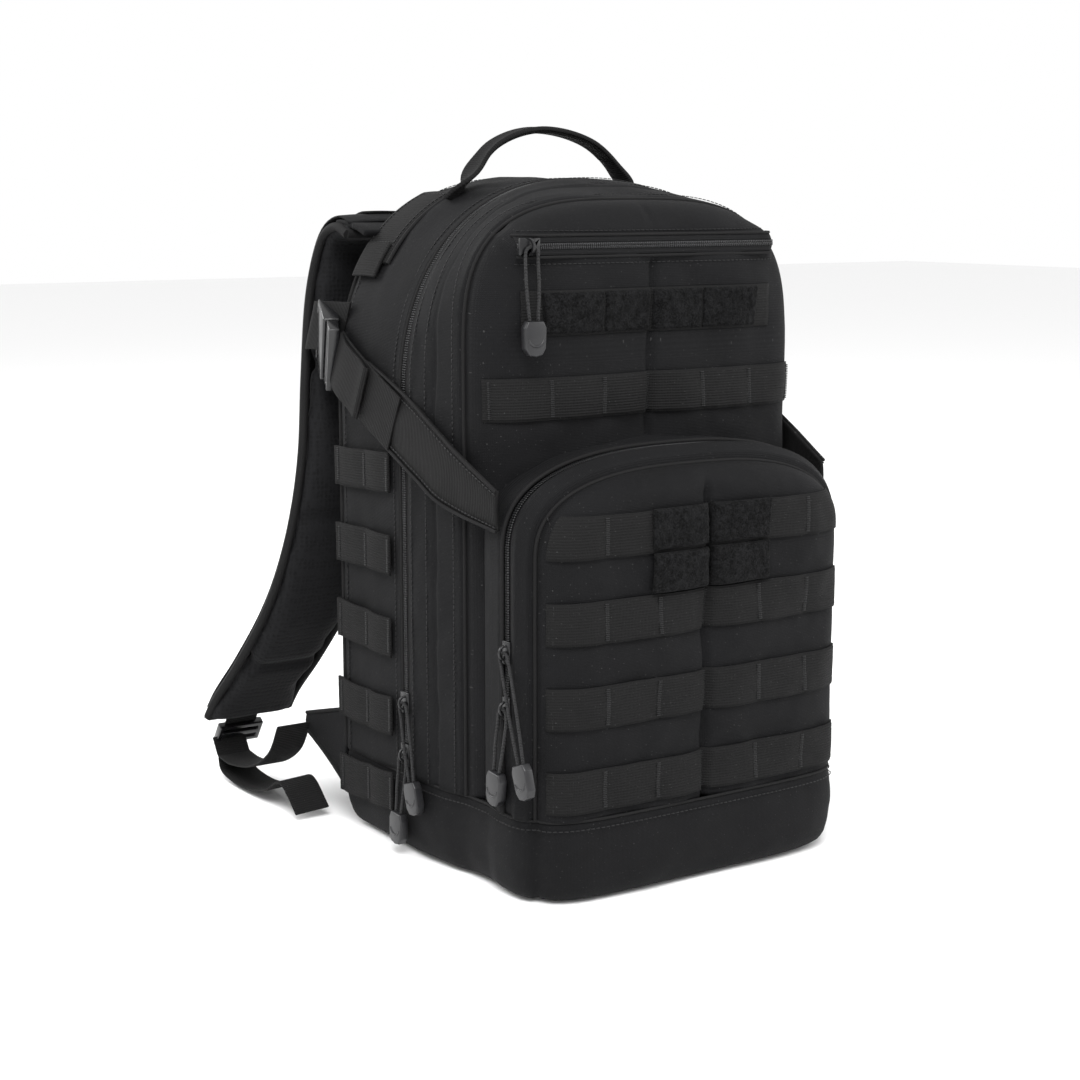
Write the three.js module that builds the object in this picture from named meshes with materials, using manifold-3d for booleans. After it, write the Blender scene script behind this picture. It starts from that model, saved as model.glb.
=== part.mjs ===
// Trauma backpack: a clamshell pack with a zipped front pocket, webbing rows, a carry handle,
// padded shoulder straps and side compression straps.
// Millimetres, +Z up, the front faces -Y and the wearer's side faces +Y.
// The origin is the centre of the face that the pack stands on, under the main zip's plane.
import * as THREE from 'three';
import { mergeVertices } from 'three/addons/utils/BufferGeometryUtils.js';
import Module from 'manifold-3d';

const wasm = await Module();
wasm.setup();

// ---------------------------------------------------------------- driving dimensions
const PACK_HEIGHT = 428;        // floor to the top of the main zip
const HALF_WIDTH = 130;         // half of the body's width
const REAR_Y = 100;             // outer face of the back panel
const MAIN_ZIP_Y = 16;          // plane of the main zip
const FRONT_Y = -66;            // upper front face
const POCKET_ZIP_Y = -90;       // plane of the pocket's zip
const POCKET_Y = -128;          // pocket's front face
const REAR_DROP = 138;          // how far below the top the rear half starts to curve in
const REAR_POWER = 2.3;         // fullness of the rear half's shoulders, 2 is an ellipse
const FRONT_SINK = 6;           // the front half is this much lower than the zip
const FRONT_DROP = 100;         // how far below its top the front half starts to curve in
const FRONT_POWER = 3.4;        // fullness of the front half's shoulders
const FRONT_ROUND = 10;         // rounding of the upper front edge
const POCKET_HALF = 122;        // half of the pocket's width
const POCKET_TOP = 268;         // floor to the top of the pocket
const POCKET_CORNER = 42;       // radius of the pocket's top corners
const POCKET_ROUND = 18;        // rounding of the pocket's front edge
const BOOT_HEIGHT = 52;         // floor to the boot seam
const FLAP_BASE = 106;          // floor to the seam that the pocket flap folds on
const WALL = 3;                 // padded shell wall
const PANEL = 4;                // back panel
const GAP = 0.3;                // clearance between neighbouring pieces
const WEB_WIDTH = 25.4;         // webbing rows and adjuster webbing
const WEB_PITCH = 50.8;         // from one webbing row to the next
const WEB_THICK = 1.6;
const ZIP_HALF = 7;             // half of a zip's width over both tapes
const ZIP_SLOT = 3;             // slot between the tapes
const TAPE_THICK = 1.2;
const CORD_RADIUS = 1.1;        // zip pull cord
const STRAP_WIDTH = 66;         // shoulder strap pad
const STRAP_THICK = 13;
const CLIP_WIDTH = 46;          // compression buckle, over its width
const CLIP_WEB = 38;            // compression strap webbing

// ---------------------------------------------------------------- colours
const cloth = (shade, roughness = 0.92) => new THREE.MeshStandardMaterial({
  color: new THREE.Color(shade, shade, shade * 1.08), roughness, metalness: 0 });
const FABRIC = 0.022;
const WEBBING = 0.032;
const PLASTIC = 0.015;

// ---------------------------------------------------------------- solids
const solid = (geometry) => {
  const bare = geometry.clone();
  bare.deleteAttribute('normal');
  bare.deleteAttribute('uv');
  const merged = mergeVertices(bare, 1e-4);
  return new wasm.Manifold(new wasm.Mesh({
    numProp: 3,
    vertProperties: new Float32Array(merged.attributes.position.array),
    triVerts: new Uint32Array(merged.index.array),
  }));
};

const geometryOf = (manifold) => {
  const mesh = manifold.getMesh();
  const geometry = new THREE.BufferGeometry();
  geometry.setAttribute('position', new THREE.BufferAttribute(new Float32Array(mesh.vertProperties), 3));
  geometry.setIndex(new THREE.BufferAttribute(new Uint32Array(mesh.triVerts), 1));
  return geometry;
};

const join = (...parts) => parts.reduce((sum, part) => sum.add(part));
const cut = (body, ...tools) => tools.reduce((left, tool) => left.subtract(tool), body);

// a box between two corners
const box = (x0, x1, y0, y1, z0, z1) => solid(
  new THREE.BoxGeometry(x1 - x0, y1 - y0, z1 - z0)
    .translate((x0 + x1) / 2, (y0 + y1) / 2, (z0 + z1) / 2));

const shapeOf = (points) => new THREE.Shape(points);

// an (x, z) outline swept from y0 to y1, with both ends rounded by r
const alongY = (points, y0, y1, r = 0) => solid(
  new THREE.ExtrudeGeometry(shapeOf(points), {
    depth: y1 - y0 - 2 * r,
    bevelEnabled: r > 0,
    bevelThickness: r,
    bevelSize: r,
    bevelOffset: -r,
    bevelSegments: 3,
  }).translate(0, 0, r).rotateX(Math.PI / 2).translate(0, y1, 0));

// a (y, z) outline swept from x0 to x1
const alongX = (points, x0, x1, r = 0) => solid(
  new THREE.ExtrudeGeometry(shapeOf(points), {
    depth: x1 - x0 - 2 * r,
    bevelEnabled: r > 0,
    bevelThickness: r,
    bevelSize: r,
    bevelOffset: -r,
    bevelSegments: 2,
  }).translate(0, 0, r).rotateY(Math.PI / 2).rotateX(Math.PI / 2).translate(x0, 0, 0));

// an (x, y) outline swept from z0 to z1
const alongZ = (points, z0, z1) => solid(
  new THREE.ExtrudeGeometry(shapeOf(points), { depth: z1 - z0, bevelEnabled: false })
    .translate(0, 0, z0));

const v2 = (x, y) => new THREE.Vector2(x, y);

// a band of constant thickness about a smooth curve through the points
const ribbon = (points, thickness, steps) => {
  const curve = new THREE.SplineCurve(points);
  const left = [];
  const right = [];
  for (let i = 0; i <= steps; i += 1) {
    const at = curve.getPointAt(i / steps);
    const along = curve.getTangentAt(i / steps);
    const side = v2(-along.y, along.x).multiplyScalar(thickness / 2);
    left.push(at.clone().add(side));
    right.push(at.clone().sub(side));
  }
  return [...right, ...left.reverse()];
};

// ---------------------------------------------------------------- outlines
const REAR_CROWN = { top: PACK_HEIGHT, drop: REAR_DROP, power: REAR_POWER };
const FRONT_CROWN = { top: PACK_HEIGHT - FRONT_SINK, drop: FRONT_DROP, power: FRONT_POWER };

// a crown from the left shoulder to the right one, moved inwards by inset
const crown = ({ top, drop, power }, inset, from = 0, to = Math.PI, steps = 24) => {
  const points = [];
  for (let i = 0; i <= steps; i += 1) {
    const t = from + (to - from) * i / steps;
    const x = -Math.sign(Math.cos(t)) * Math.abs(Math.cos(t)) ** (2 / power);
    const z = Math.abs(Math.sin(t)) ** (2 / power);
    points.push(v2(x * (HALF_WIDTH - inset), top - drop + z * (drop - inset)));
  }
  return points;
};

// height of the rear crown over a distance x from the middle
const crownHeight = (x) => PACK_HEIGHT - REAR_DROP
  + REAR_DROP * (1 - (Math.abs(x) / HALF_WIDTH) ** REAR_POWER) ** (1 / REAR_POWER);

// half of the front crown's width at a height, moved inwards by inset
const frontHalf = (z, inset) => (HALF_WIDTH - inset)
  * (1 - ((z - FRONT_CROWN.top + FRONT_DROP) / (FRONT_DROP - inset)) ** FRONT_POWER) ** (1 / FRONT_POWER);

const outlineOf = (profile) => (inset, base) => [
  v2(-HALF_WIDTH + inset, base), ...crown(profile, inset), v2(HALF_WIDTH - inset, base)];
const packOutline = outlineOf(REAR_CROWN);
const frontOutline = outlineOf(FRONT_CROWN);

// the pocket's outline: straight sides and two round corners, moved inwards by inset
const pocketArch = (inset) => {
  const r = POCKET_CORNER - inset;
  const cx = POCKET_HALF - POCKET_CORNER;
  const cz = POCKET_TOP - POCKET_CORNER;
  const points = [];
  for (let i = 0; i <= 8; i += 1) {
    const t = Math.PI - i * Math.PI / 16;
    points.push(v2(-cx + r * Math.cos(t), cz + r * Math.sin(t)));
  }
  for (let i = 0; i <= 8; i += 1) {
    const t = Math.PI / 2 - i * Math.PI / 16;
    points.push(v2(cx + r * Math.cos(t), cz + r * Math.sin(t)));
  }
  return points;
};
const pocketOutline = (inset, base) => [
  v2(-POCKET_HALF + inset, base), ...pocketArch(inset), v2(POCKET_HALF - inset, base)];

// an arched band between two insets of the same outline
const band = (outline, outer, inner, base, y0, y1) => cut(
  alongY(outline(outer, base), y0, y1),
  alongY(outline(inner, base - 1), y0 - 1, y1 + 1));

// plan view of the boot, moved inwards by inset
const bootPlan = (inset) => {
  const step = HALF_WIDTH - POCKET_HALF;
  const half = [
    v2(HALF_WIDTH - inset, REAR_Y - inset),
    v2(HALF_WIDTH - inset, FRONT_Y + step),
    v2(POCKET_HALF + step * 0.3 - inset, FRONT_Y + step * 0.3),
    v2(POCKET_HALF - inset, FRONT_Y),
  ];
  for (let i = 0; i <= 5; i += 1) {
    const t = -i * Math.PI / 10;
    half.push(v2(POCKET_HALF - POCKET_ROUND + (POCKET_ROUND - inset) * Math.cos(t),
      POCKET_Y + POCKET_ROUND + (POCKET_ROUND - inset) * Math.sin(t)));
  }
  return [...half, ...half.map((p) => v2(-p.x, p.y)).reverse()];
};

// ---------------------------------------------------------------- scene helpers
const pack = new THREE.Group();

const add = (name, manifold, material, parent = pack) => {
  const mesh = new THREE.Mesh(geometryOf(manifold), material);
  mesh.name = name;
  parent.add(mesh);
  return mesh;
};

// left is -X. Pieces are drawn for the left and mirrored for the right.
const SIDES = [['left', 1], ['right', -1]];
const mirrored = (manifold, side) => (side > 0 ? manifold : manifold.mirror([1, 0, 0]));
const addPair = (stem, manifold, material) => {
  for (const [word, side] of SIDES) add(`${stem}_${word}`, mirrored(manifold, side), material);
};

// ---------------------------------------------------------------- rear half
const FAR = 1000;
const SHELL_BASE = BOOT_HEIGHT + GAP;
const REAR_SHELL_END = REAR_Y - PANEL - GAP;
const REAR_SHELL_START = MAIN_ZIP_Y + ZIP_HALF + GAP;

const boot = cut(
  alongZ(bootPlan(0), 0, BOOT_HEIGHT),
  alongZ(bootPlan(WALL), WALL, BOOT_HEIGHT + 1));
add('boot', boot, cloth(FABRIC));

add('rear_shell', band(packOutline, 0, WALL, SHELL_BASE, REAR_SHELL_START, REAR_SHELL_END), cloth(FABRIC));
add('back_panel', alongY(packOutline(0, SHELL_BASE), REAR_Y - PANEL, REAR_Y), cloth(FABRIC));

const SHEET_INSET = WALL + 9;
const SHEET_THICK = 1.5;
const SHEET_END = REAR_Y - PANEL - GAP;
add('frame_sheet',
  alongY(packOutline(SHEET_INSET, SHELL_BASE + 6), SHEET_END - SHEET_THICK, SHEET_END), cloth(0.05, 0.5));
const SLEEVE_END = SHEET_END - SHEET_THICK - GAP;
const SLEEVE_TOP = PACK_HEIGHT - 78;
const sleeveHalf = HALF_WIDTH - SHEET_INSET - 8;
add('inner_sleeve', box(-sleeveHalf, sleeveHalf, SLEEVE_END - 1.5, SLEEVE_END, SHELL_BASE + 12, SLEEVE_TOP),
  cloth(0.05));

// back pads: foam blocks with round edges on the wearer's side
const PAD_THICK = 12;
const pad = (x0, x1, z0, z1) => alongY(
  [v2(x0, z0), v2(x1, z0), v2(x1, z1), v2(x0, z1)], REAR_Y + GAP, REAR_Y + GAP + PAD_THICK, 3);
const PAD_OUTER = HALF_WIDTH - 34;
const PAD_INNER = 12;
const padBase = BOOT_HEIGHT + 92;
addPair('back_pad', pad(-PAD_OUTER, -PAD_INNER, padBase, PACK_HEIGHT - 62), cloth(0.03));
add('lumbar_pad', pad(-PAD_OUTER, PAD_OUTER, BOOT_HEIGHT - 22, padBase - 16), cloth(0.03));

// main zip tapes, one on each half, in the surface of the gusset
const TAPE_INSET = 1;
const tapeBand = (outline, base, y0, y1) => band(
  outline, TAPE_INSET, TAPE_INSET + TAPE_THICK, base, y0, y1);
add('main_zip_rear_tape', tapeBand(packOutline, SHELL_BASE,
  MAIN_ZIP_Y + ZIP_SLOT / 2, REAR_SHELL_START - GAP), cloth(WEBBING));

// side webbing: rows joined by the strip along the back edge
const SIDE_ROWS = 5;
const SIDE_ROW_BASE = 24;
const SIDE_ROW_START = MAIN_ZIP_Y + 13;
const SIDE_PITCH = 52;
const SIDE_STRIP = 7;
const sideTop = SIDE_ROW_BASE + (SIDE_ROWS - 1) * SIDE_PITCH + WEB_WIDTH;
const sideX0 = -HALF_WIDTH - GAP - WEB_THICK;
const sideX1 = -HALF_WIDTH - GAP;
let sideWebbing = box(sideX0, sideX1, REAR_Y - SIDE_STRIP - 1, REAR_Y - 1, SIDE_ROW_BASE, sideTop);
for (let row = 0; row < SIDE_ROWS; row += 1) {
  const z = SIDE_ROW_BASE + row * SIDE_PITCH;
  sideWebbing = join(sideWebbing, box(sideX0, sideX1, SIDE_ROW_START, REAR_Y - 2, z, z + WEB_WIDTH));
}
addPair('side_webbing', sideWebbing, cloth(WEBBING));

// yoke patches: wide webbing over the rear shoulders, where the shoulder straps are sewn in
const YOKE_THICK = 2;
const YOKE_FRONT = REAR_Y - 38;
const YOKE_FROM = 0.46;
const YOKE_TO = 1.06;
const yoke = alongY([
  ...crown(REAR_CROWN, -GAP - YOKE_THICK, YOKE_FROM, YOKE_TO, 8),
  ...crown(REAR_CROWN, -GAP, YOKE_FROM, YOKE_TO, 8).reverse()], YOKE_FRONT, REAR_Y - 1);
addPair('yoke_patch', yoke, cloth(WEBBING));

// fabric wing at the lower back corner that the adjuster webbing is sewn to
const ANCHOR_THICK = 2.4;
const anchorTab = alongX([
  v2(REAR_Y + GAP, BOOT_HEIGHT - 30),
  v2(REAR_Y + 26, BOOT_HEIGHT - 28),
  v2(REAR_Y + 46, BOOT_HEIGHT + 6),
  v2(REAR_Y + 43, BOOT_HEIGHT + 13),
  v2(REAR_Y + GAP, BOOT_HEIGHT + 25)], -HALF_WIDTH, -HALF_WIDTH + ANCHOR_THICK);
addPair('lower_anchor', anchorTab, cloth(FABRIC));

// ---------------------------------------------------------------- front half
const FRONT_SHELL_END = MAIN_ZIP_Y - ZIP_HALF - GAP;
const frontBody = alongY(frontOutline(0, 0), FRONT_Y, MAIN_ZIP_Y + 2 * FRONT_ROUND, FRONT_ROUND);
const frontHollow = alongY(frontOutline(WALL, -1), FRONT_Y + WALL, MAIN_ZIP_Y + 3 * FRONT_ROUND,
  FRONT_ROUND - WALL);
const frontShell = cut(frontBody, frontHollow,
  box(-FAR, FAR, FRONT_SHELL_END, FAR, -FAR, FAR),
  box(-FAR, FAR, -FAR, FAR, -FAR, SHELL_BASE));
add('front_shell', frontShell, cloth(FABRIC));
// the front tape also fills the step between the two crowns
const frontTapeStart = FRONT_SHELL_END + GAP;
const frontTapeEnd = MAIN_ZIP_Y - ZIP_SLOT / 2;
add('main_zip_front_tape', join(
  tapeBand(packOutline, SHELL_BASE, frontTapeStart, frontTapeEnd),
  cut(alongY(frontOutline(TAPE_INSET, SHELL_BASE), frontTapeStart, frontTapeEnd),
    alongY(packOutline(TAPE_INSET + TAPE_THICK, SHELL_BASE - 1), frontTapeStart - 1, frontTapeEnd + 1))),
cloth(WEBBING));

// admin pocket panel with its zip slot
const ADMIN_THICK = 2.5;
const ADMIN_ZIP_Z = PACK_HEIGHT - 40;
const ADMIN_FACE = FRONT_Y - GAP - ADMIN_THICK;
const adminInset = FRONT_ROUND + 1;
const ADMIN_SLOT_HALF = frontHalf(ADMIN_ZIP_Z, adminInset) - 4;
const adminPanel = cut(
  alongY(frontOutline(adminInset, POCKET_TOP + 2), ADMIN_FACE, FRONT_Y - GAP),
  box(-ADMIN_SLOT_HALF, ADMIN_SLOT_HALF, -FAR, FAR, ADMIN_ZIP_Z - ZIP_SLOT / 2, ADMIN_ZIP_Z + ZIP_SLOT / 2));
add('admin_panel', adminPanel, cloth(FABRIC));

// a flat strip on a front face
const faceStrip = (half, face, thickness, z, height, offset = 0) => box(
  offset - half, offset + half, face - GAP - thickness, face - GAP, z, z + height);
const ROW_BASE = 57.3;
const rowZ = (row) => ROW_BASE + row * WEB_PITCH;
const UPPER_ROW_Z = POCKET_TOP + 17;
const adminHalf = HALF_WIDTH - adminInset - 3;
const ID_HALF = ADMIN_SLOT_HALF - 18;
add('upper_webbing_row', faceStrip(adminHalf, ADMIN_FACE, WEB_THICK, UPPER_ROW_Z, WEB_WIDTH), cloth(WEBBING));
add('id_loop_strip',
  faceStrip(ID_HALF, ADMIN_FACE, 2.2, UPPER_ROW_Z + WEB_PITCH, WEB_WIDTH), cloth(PLASTIC));

// pocket: base tub, gusset, then the flap in front of its zip
const pocketPlan = (inset) => {
  const half = [v2(POCKET_HALF - inset, FRONT_Y - GAP)];
  for (let i = 0; i <= 5; i += 1) {
    const t = -i * Math.PI / 10;
    half.push(v2(POCKET_HALF - POCKET_ROUND + (POCKET_ROUND - inset) * Math.cos(t),
      POCKET_Y + POCKET_ROUND + (POCKET_ROUND - inset) * Math.sin(t)));
  }
  return [...half, ...half.map((p) => v2(-p.x, p.y)).reverse()];
};
const POCKET_FLOOR = SHELL_BASE + 2;
add('pocket_base', cut(
  alongZ(pocketPlan(0), SHELL_BASE, FLAP_BASE - GAP),
  alongZ(pocketPlan(WALL), POCKET_FLOOR, FAR),
  box(-POCKET_HALF + WALL, POCKET_HALF - WALL, FRONT_Y - 2, FAR, POCKET_FLOOR, FAR)), cloth(FABRIC));

const GUSSET_END = POCKET_ZIP_Y + ZIP_HALF + GAP;
const FLAP_END = POCKET_ZIP_Y - ZIP_HALF - GAP;
add('pocket_gusset', band(pocketOutline, 0, WALL, FLAP_BASE, GUSSET_END, FRONT_Y - GAP), cloth(FABRIC));
add('pocket_zip_rear_tape', tapeBand(pocketOutline, FLAP_BASE,
  POCKET_ZIP_Y + ZIP_SLOT / 2, GUSSET_END - GAP), cloth(WEBBING));

const flapBody = alongY(pocketOutline(0, 0), POCKET_Y, FRONT_Y + 2 * POCKET_ROUND, POCKET_ROUND);
const flapHollow = alongY(pocketOutline(WALL, -1), POCKET_Y + WALL, FRONT_Y + 3 * POCKET_ROUND,
  POCKET_ROUND - WALL);
add('pocket_flap', cut(flapBody, flapHollow,
  box(-FAR, FAR, FLAP_END, FAR, -FAR, FAR),
  box(-FAR, FAR, -FAR, FAR, -FAR, FLAP_BASE)), cloth(FABRIC));
add('pocket_zip_front_tape', tapeBand(pocketOutline, FLAP_BASE,
  FLAP_END + GAP, POCKET_ZIP_Y - ZIP_SLOT / 2), cloth(WEBBING));

// webbing rows on the pocket, counted from the lowest, and the loop patch over the top one
const ROW_HALF = POCKET_HALF - POCKET_ROUND;
const PATCH_HALF = 45;
const PATCH_GAP = 1.5;
const PATCH_THICK = 2.4;
const PATCH_BACKING = 0.8;
const topRow = rowZ(3);
add('pocket_webbing_row_1', faceStrip(ROW_HALF, POCKET_Y, WEB_THICK, rowZ(0), WEB_WIDTH), cloth(WEBBING));
add('pocket_webbing_row_2', faceStrip(ROW_HALF, POCKET_Y, WEB_THICK, rowZ(1), WEB_WIDTH), cloth(WEBBING));
add('pocket_webbing_row_3', faceStrip(ROW_HALF, POCKET_Y, WEB_THICK, rowZ(2), WEB_WIDTH), cloth(WEBBING));
const patchFace = POCKET_Y - WEB_THICK - 2 * GAP;
const patchBase = rowZ(2) + WEB_WIDTH + 1;
const patchTop = topRow + WEB_WIDTH + 1;
const patchCell = (patchTop - patchBase - PATCH_GAP) / 2;
let patch = box(-PATCH_HALF, PATCH_HALF, patchFace - PATCH_BACKING, patchFace, patchBase, patchTop);
for (const x of [-PATCH_HALF, PATCH_GAP / 2]) {
  for (const z of [patchBase, patchBase + patchCell + PATCH_GAP]) {
    patch = join(patch, box(x, x + PATCH_HALF - PATCH_GAP / 2,
      patchFace - PATCH_THICK, patchFace - PATCH_BACKING / 2, z, z + patchCell));
  }
}
add('pocket_webbing_row_4', faceStrip(ROW_HALF, POCKET_Y, WEB_THICK, topRow, WEB_WIDTH), cloth(WEBBING));
add('loop_patch', patch, cloth(PLASTIC));

// ---------------------------------------------------------------- compression straps
const WING_THICK = 2;
const CLIP_SLOPE = THREE.MathUtils.degToRad(26);
const CLIP_YAW = THREE.MathUtils.degToRad(20);
const CLIP_Y = REAR_Y - 7;
const CLIP_Z = PACK_HEIGHT - 116;
const wingLine = (y) => CLIP_Z + (y - CLIP_Y) * Math.tan(CLIP_SLOPE);
const WING_FRONT = FRONT_Y + 10;
const WING_REAR = CLIP_Y - 45;
const WING_HALF = 22;
const wing = alongX([
  v2(WING_FRONT, wingLine(WING_FRONT) - WING_HALF * 0.55),
  v2(WING_FRONT + 60, wingLine(WING_FRONT + 60) - WING_HALF * 0.9),
  v2(WING_REAR, wingLine(WING_REAR) - WING_HALF),
  v2(WING_REAR, wingLine(WING_REAR) + WING_HALF),
  v2(WING_FRONT, wingLine(WING_FRONT) + WING_HALF)],
-HALF_WIDTH - GAP - WING_THICK, -HALF_WIDTH - GAP);
addPair('wing', wing, cloth(FABRIC));

// the strap lies on the wing, the plug is yawed round the rear corner into its socket
const STRAP_FACE = HALF_WIDTH + WING_THICK + 2 * GAP;
const CLIP_WEB_THICK = 1.8;
const CLIP_STRAP_LENGTH = 92;
const clipStrap = alongX([
  v2(-CLIP_STRAP_LENGTH, -CLIP_WEB / 2), v2(0, -CLIP_WEB / 2),
  v2(0, CLIP_WEB / 2), v2(-CLIP_STRAP_LENGTH, CLIP_WEB / 2)],
-CLIP_WEB_THICK, 0);

const PLUG_LENGTH = 13;
const PLUG_THICK = 7;
const PRONG_LENGTH = 20;
const PRONG_THICK = 4.4;
const SOCKET_LENGTH = 27;
const SOCKET_THICK = 11;
const clipHalf = CLIP_WIDTH / 2;
const prong = (z0, z1) => box(-PRONG_THICK / 2, PRONG_THICK / 2, PLUG_LENGTH - 1,
  PLUG_LENGTH + PRONG_LENGTH, z0, z1);
const plug = cut(
  join(box(-PLUG_THICK / 2, PLUG_THICK / 2, 0, PLUG_LENGTH, -clipHalf, clipHalf),
    prong(-clipHalf + 4, -clipHalf + 10), prong(-3, 3), prong(clipHalf - 10, clipHalf - 4)),
  box(-FAR, FAR, 3, 6, -CLIP_WEB / 2 - GAP, CLIP_WEB / 2 + GAP));
const socketStart = PLUG_LENGTH + 1;
const socket = cut(
  box(-SOCKET_THICK / 2, SOCKET_THICK / 2, socketStart, socketStart + SOCKET_LENGTH, -clipHalf, clipHalf),
  box(-PRONG_THICK / 2 - 0.6, PRONG_THICK / 2 + 0.6, socketStart - 1, PLUG_LENGTH + PRONG_LENGTH + 1,
    -clipHalf + 3, clipHalf - 3),
  box(-FAR, FAR, socketStart + SOCKET_LENGTH - 5, socketStart + SOCKET_LENGTH - 2,
    -CLIP_WEB / 2 - GAP, CLIP_WEB / 2 + GAP));

for (const [word, side] of SIDES) {
  const strapGroup = new THREE.Group();
  strapGroup.position.set(-side * STRAP_FACE, CLIP_Y - 2, CLIP_Z);
  strapGroup.rotation.x = CLIP_SLOPE;
  pack.add(strapGroup);
  add(`compression_strap_${word}`, mirrored(clipStrap, side), cloth(WEBBING), strapGroup);

  const yawGroup = new THREE.Group();
  yawGroup.position.set(-side * (STRAP_FACE + PLUG_THICK / 2 + 1), CLIP_Y, CLIP_Z);
  yawGroup.rotation.z = -side * CLIP_YAW;
  pack.add(yawGroup);
  const clipGroup = new THREE.Group();
  clipGroup.rotation.x = CLIP_SLOPE;
  yawGroup.add(clipGroup);
  add(`buckle_plug_${word}`, mirrored(plug, side), cloth(PLASTIC, 0.35), clipGroup);
  add(`buckle_socket_${word}`, mirrored(socket, side), cloth(PLASTIC, 0.35), clipGroup);
}

// ---------------------------------------------------------------- zip sliders and pulls
// Drawn facing -Y: the plates lie in XZ, the bridge stands out towards -Y and the cord hangs from it.
const PLATE_HALF = 5;
const PLATE_LENGTH = 14;
const PLATE_THICK = 1.8;
const INNER_PLATE = 1.4;
const BRIDGE_INNER = 3.4;
const BRIDGE_OUTER = 4.9;
const BRIDGE_WIDTH = 1.6;
const NECK = 2.2;
const CORD_OFFSET = CORD_RADIUS + 0.5;
const GRIP_OUT = 2.2;           // the grip hangs this much further out than the bridge
const LOOP_HALF = 4.4;
const GRIP_WIDTH = 15;
const GRIP_HEIGHT = 21;
const GRIP_THICK = 6;

// local y = 0 is the outer face of the tapes, which are TAPE_THICK thick
const bridgeRing = () => {
  const points = [];
  for (let i = 0; i <= 8; i += 1) {
    const t = i * Math.PI / 8;
    points.push(v2(-BRIDGE_OUTER * Math.sin(t), BRIDGE_OUTER * Math.cos(t)));
  }
  for (let i = 8; i >= 0; i -= 1) {
    const t = i * Math.PI / 8;
    points.push(v2(-BRIDGE_INNER * Math.sin(t), BRIDGE_INNER * Math.cos(t)));
  }
  return points;
};

const PLATE_FACE = -GAP - PLATE_THICK;
const sliderSolid = (backed, sideways) => {
  const long = sideways ? PLATE_HALF : PLATE_LENGTH / 2;
  const wide = sideways ? PLATE_LENGTH / 2 : PLATE_HALF;
  const neckLong = sideways ? NECK / 2 : PLATE_LENGTH / 2 - 1;
  const neckWide = sideways ? PLATE_LENGTH / 2 - 1 : NECK / 2;
  const depth = backed ? TAPE_THICK + GAP + INNER_PLATE : ADMIN_THICK - GAP;
  const parts = [
    box(-wide, wide, PLATE_FACE, -GAP, -long, long),
    box(-neckWide, neckWide, -GAP - 0.5, depth - 0.4, -neckLong, neckLong),
    alongX(bridgeRing().map((p) => v2(p.x + PLATE_FACE + 0.2, p.y)), -BRIDGE_WIDTH / 2, BRIDGE_WIDTH / 2),
  ];
  if (backed) parts.push(box(-wide, wide, TAPE_THICK + GAP, depth, -long, long));
  return join(...parts);
};

// the cord: up one leg, over through the bridge and down the other leg
const CORD_ARC = 10;
const CORD_STEPS = 60;
const cordPath = (drop) => {
  const leg = (side) => [
    new THREE.Vector3(side * (LOOP_HALF - 1.4), -GRIP_OUT, -drop),
    new THREE.Vector3(side * LOOP_HALF, -GRIP_OUT / 2, -drop * 0.55),
    new THREE.Vector3(side * LOOP_HALF, 0, -LOOP_HALF * 2)];
  const points = leg(1);
  for (let i = 0; i <= CORD_ARC; i += 1) {
    const t = i * Math.PI / CORD_ARC;
    points.push(new THREE.Vector3(LOOP_HALF * Math.cos(t), 0, LOOP_HALF * (Math.sin(t) - 1)));
  }
  return new THREE.CatmullRomCurve3([...points, ...leg(-1).reverse()]);
};
const cordSolid = (drop) => {
  const section = new THREE.Shape();
  for (let i = 0; i < 8; i += 1) {
    const t = i * Math.PI / 4;
    section[i ? 'lineTo' : 'moveTo'](CORD_RADIUS * Math.cos(t), CORD_RADIUS * Math.sin(t));
  }
  return solid(new THREE.ExtrudeGeometry(section, {
    steps: CORD_STEPS, bevelEnabled: false, extrudePath: cordPath(drop) }));
};
const gripSolid = () => {
  const w = GRIP_WIDTH / 2;
  const h = GRIP_HEIGHT;
  return alongY([
    v2(-w + 2, 0), v2(-w, -4), v2(-w + 0.5, -h + 5), v2(-w + 3, -h + 1), v2(0, -h),
    v2(w - 3, -h + 1), v2(w - 0.5, -h + 5), v2(w, -4), v2(w - 2, 0)], -GRIP_THICK / 2, GRIP_THICK / 2, 1);
};

const SIDE_TAPE_X = -HALF_WIDTH + TAPE_INSET;
const POCKET_TAPE_X = -POCKET_HALF + TAPE_INSET;
const ONTO_LEFT = -Math.PI / 2;
const tilt = THREE.MathUtils.degToRad;
// name, place of the tape's outer face, turn about Z, tilt of the hanging pull, cord drop
const sliders = [
  { name: 'main_upper', at: [SIDE_TAPE_X, MAIN_ZIP_Y, 100], turn: ONTO_LEFT, lean: tilt(-17), drop: 50 },
  { name: 'main_lower', at: [SIDE_TAPE_X, MAIN_ZIP_Y, 66], turn: ONTO_LEFT, lean: tilt(3), drop: 38 },
  { name: 'pocket_upper', at: [POCKET_TAPE_X, POCKET_ZIP_Y, 152], turn: ONTO_LEFT, lean: tilt(-20), drop: 66 },
  { name: 'pocket_lower', at: [POCKET_TAPE_X, POCKET_ZIP_Y, 118], turn: ONTO_LEFT, lean: tilt(5), drop: 39 },
  { name: 'admin', at: [-ADMIN_SLOT_HALF + PLATE_LENGTH / 2 + 1, ADMIN_FACE, ADMIN_ZIP_Z],
    turn: 0, lean: 0, drop: 43 },
];
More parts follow.
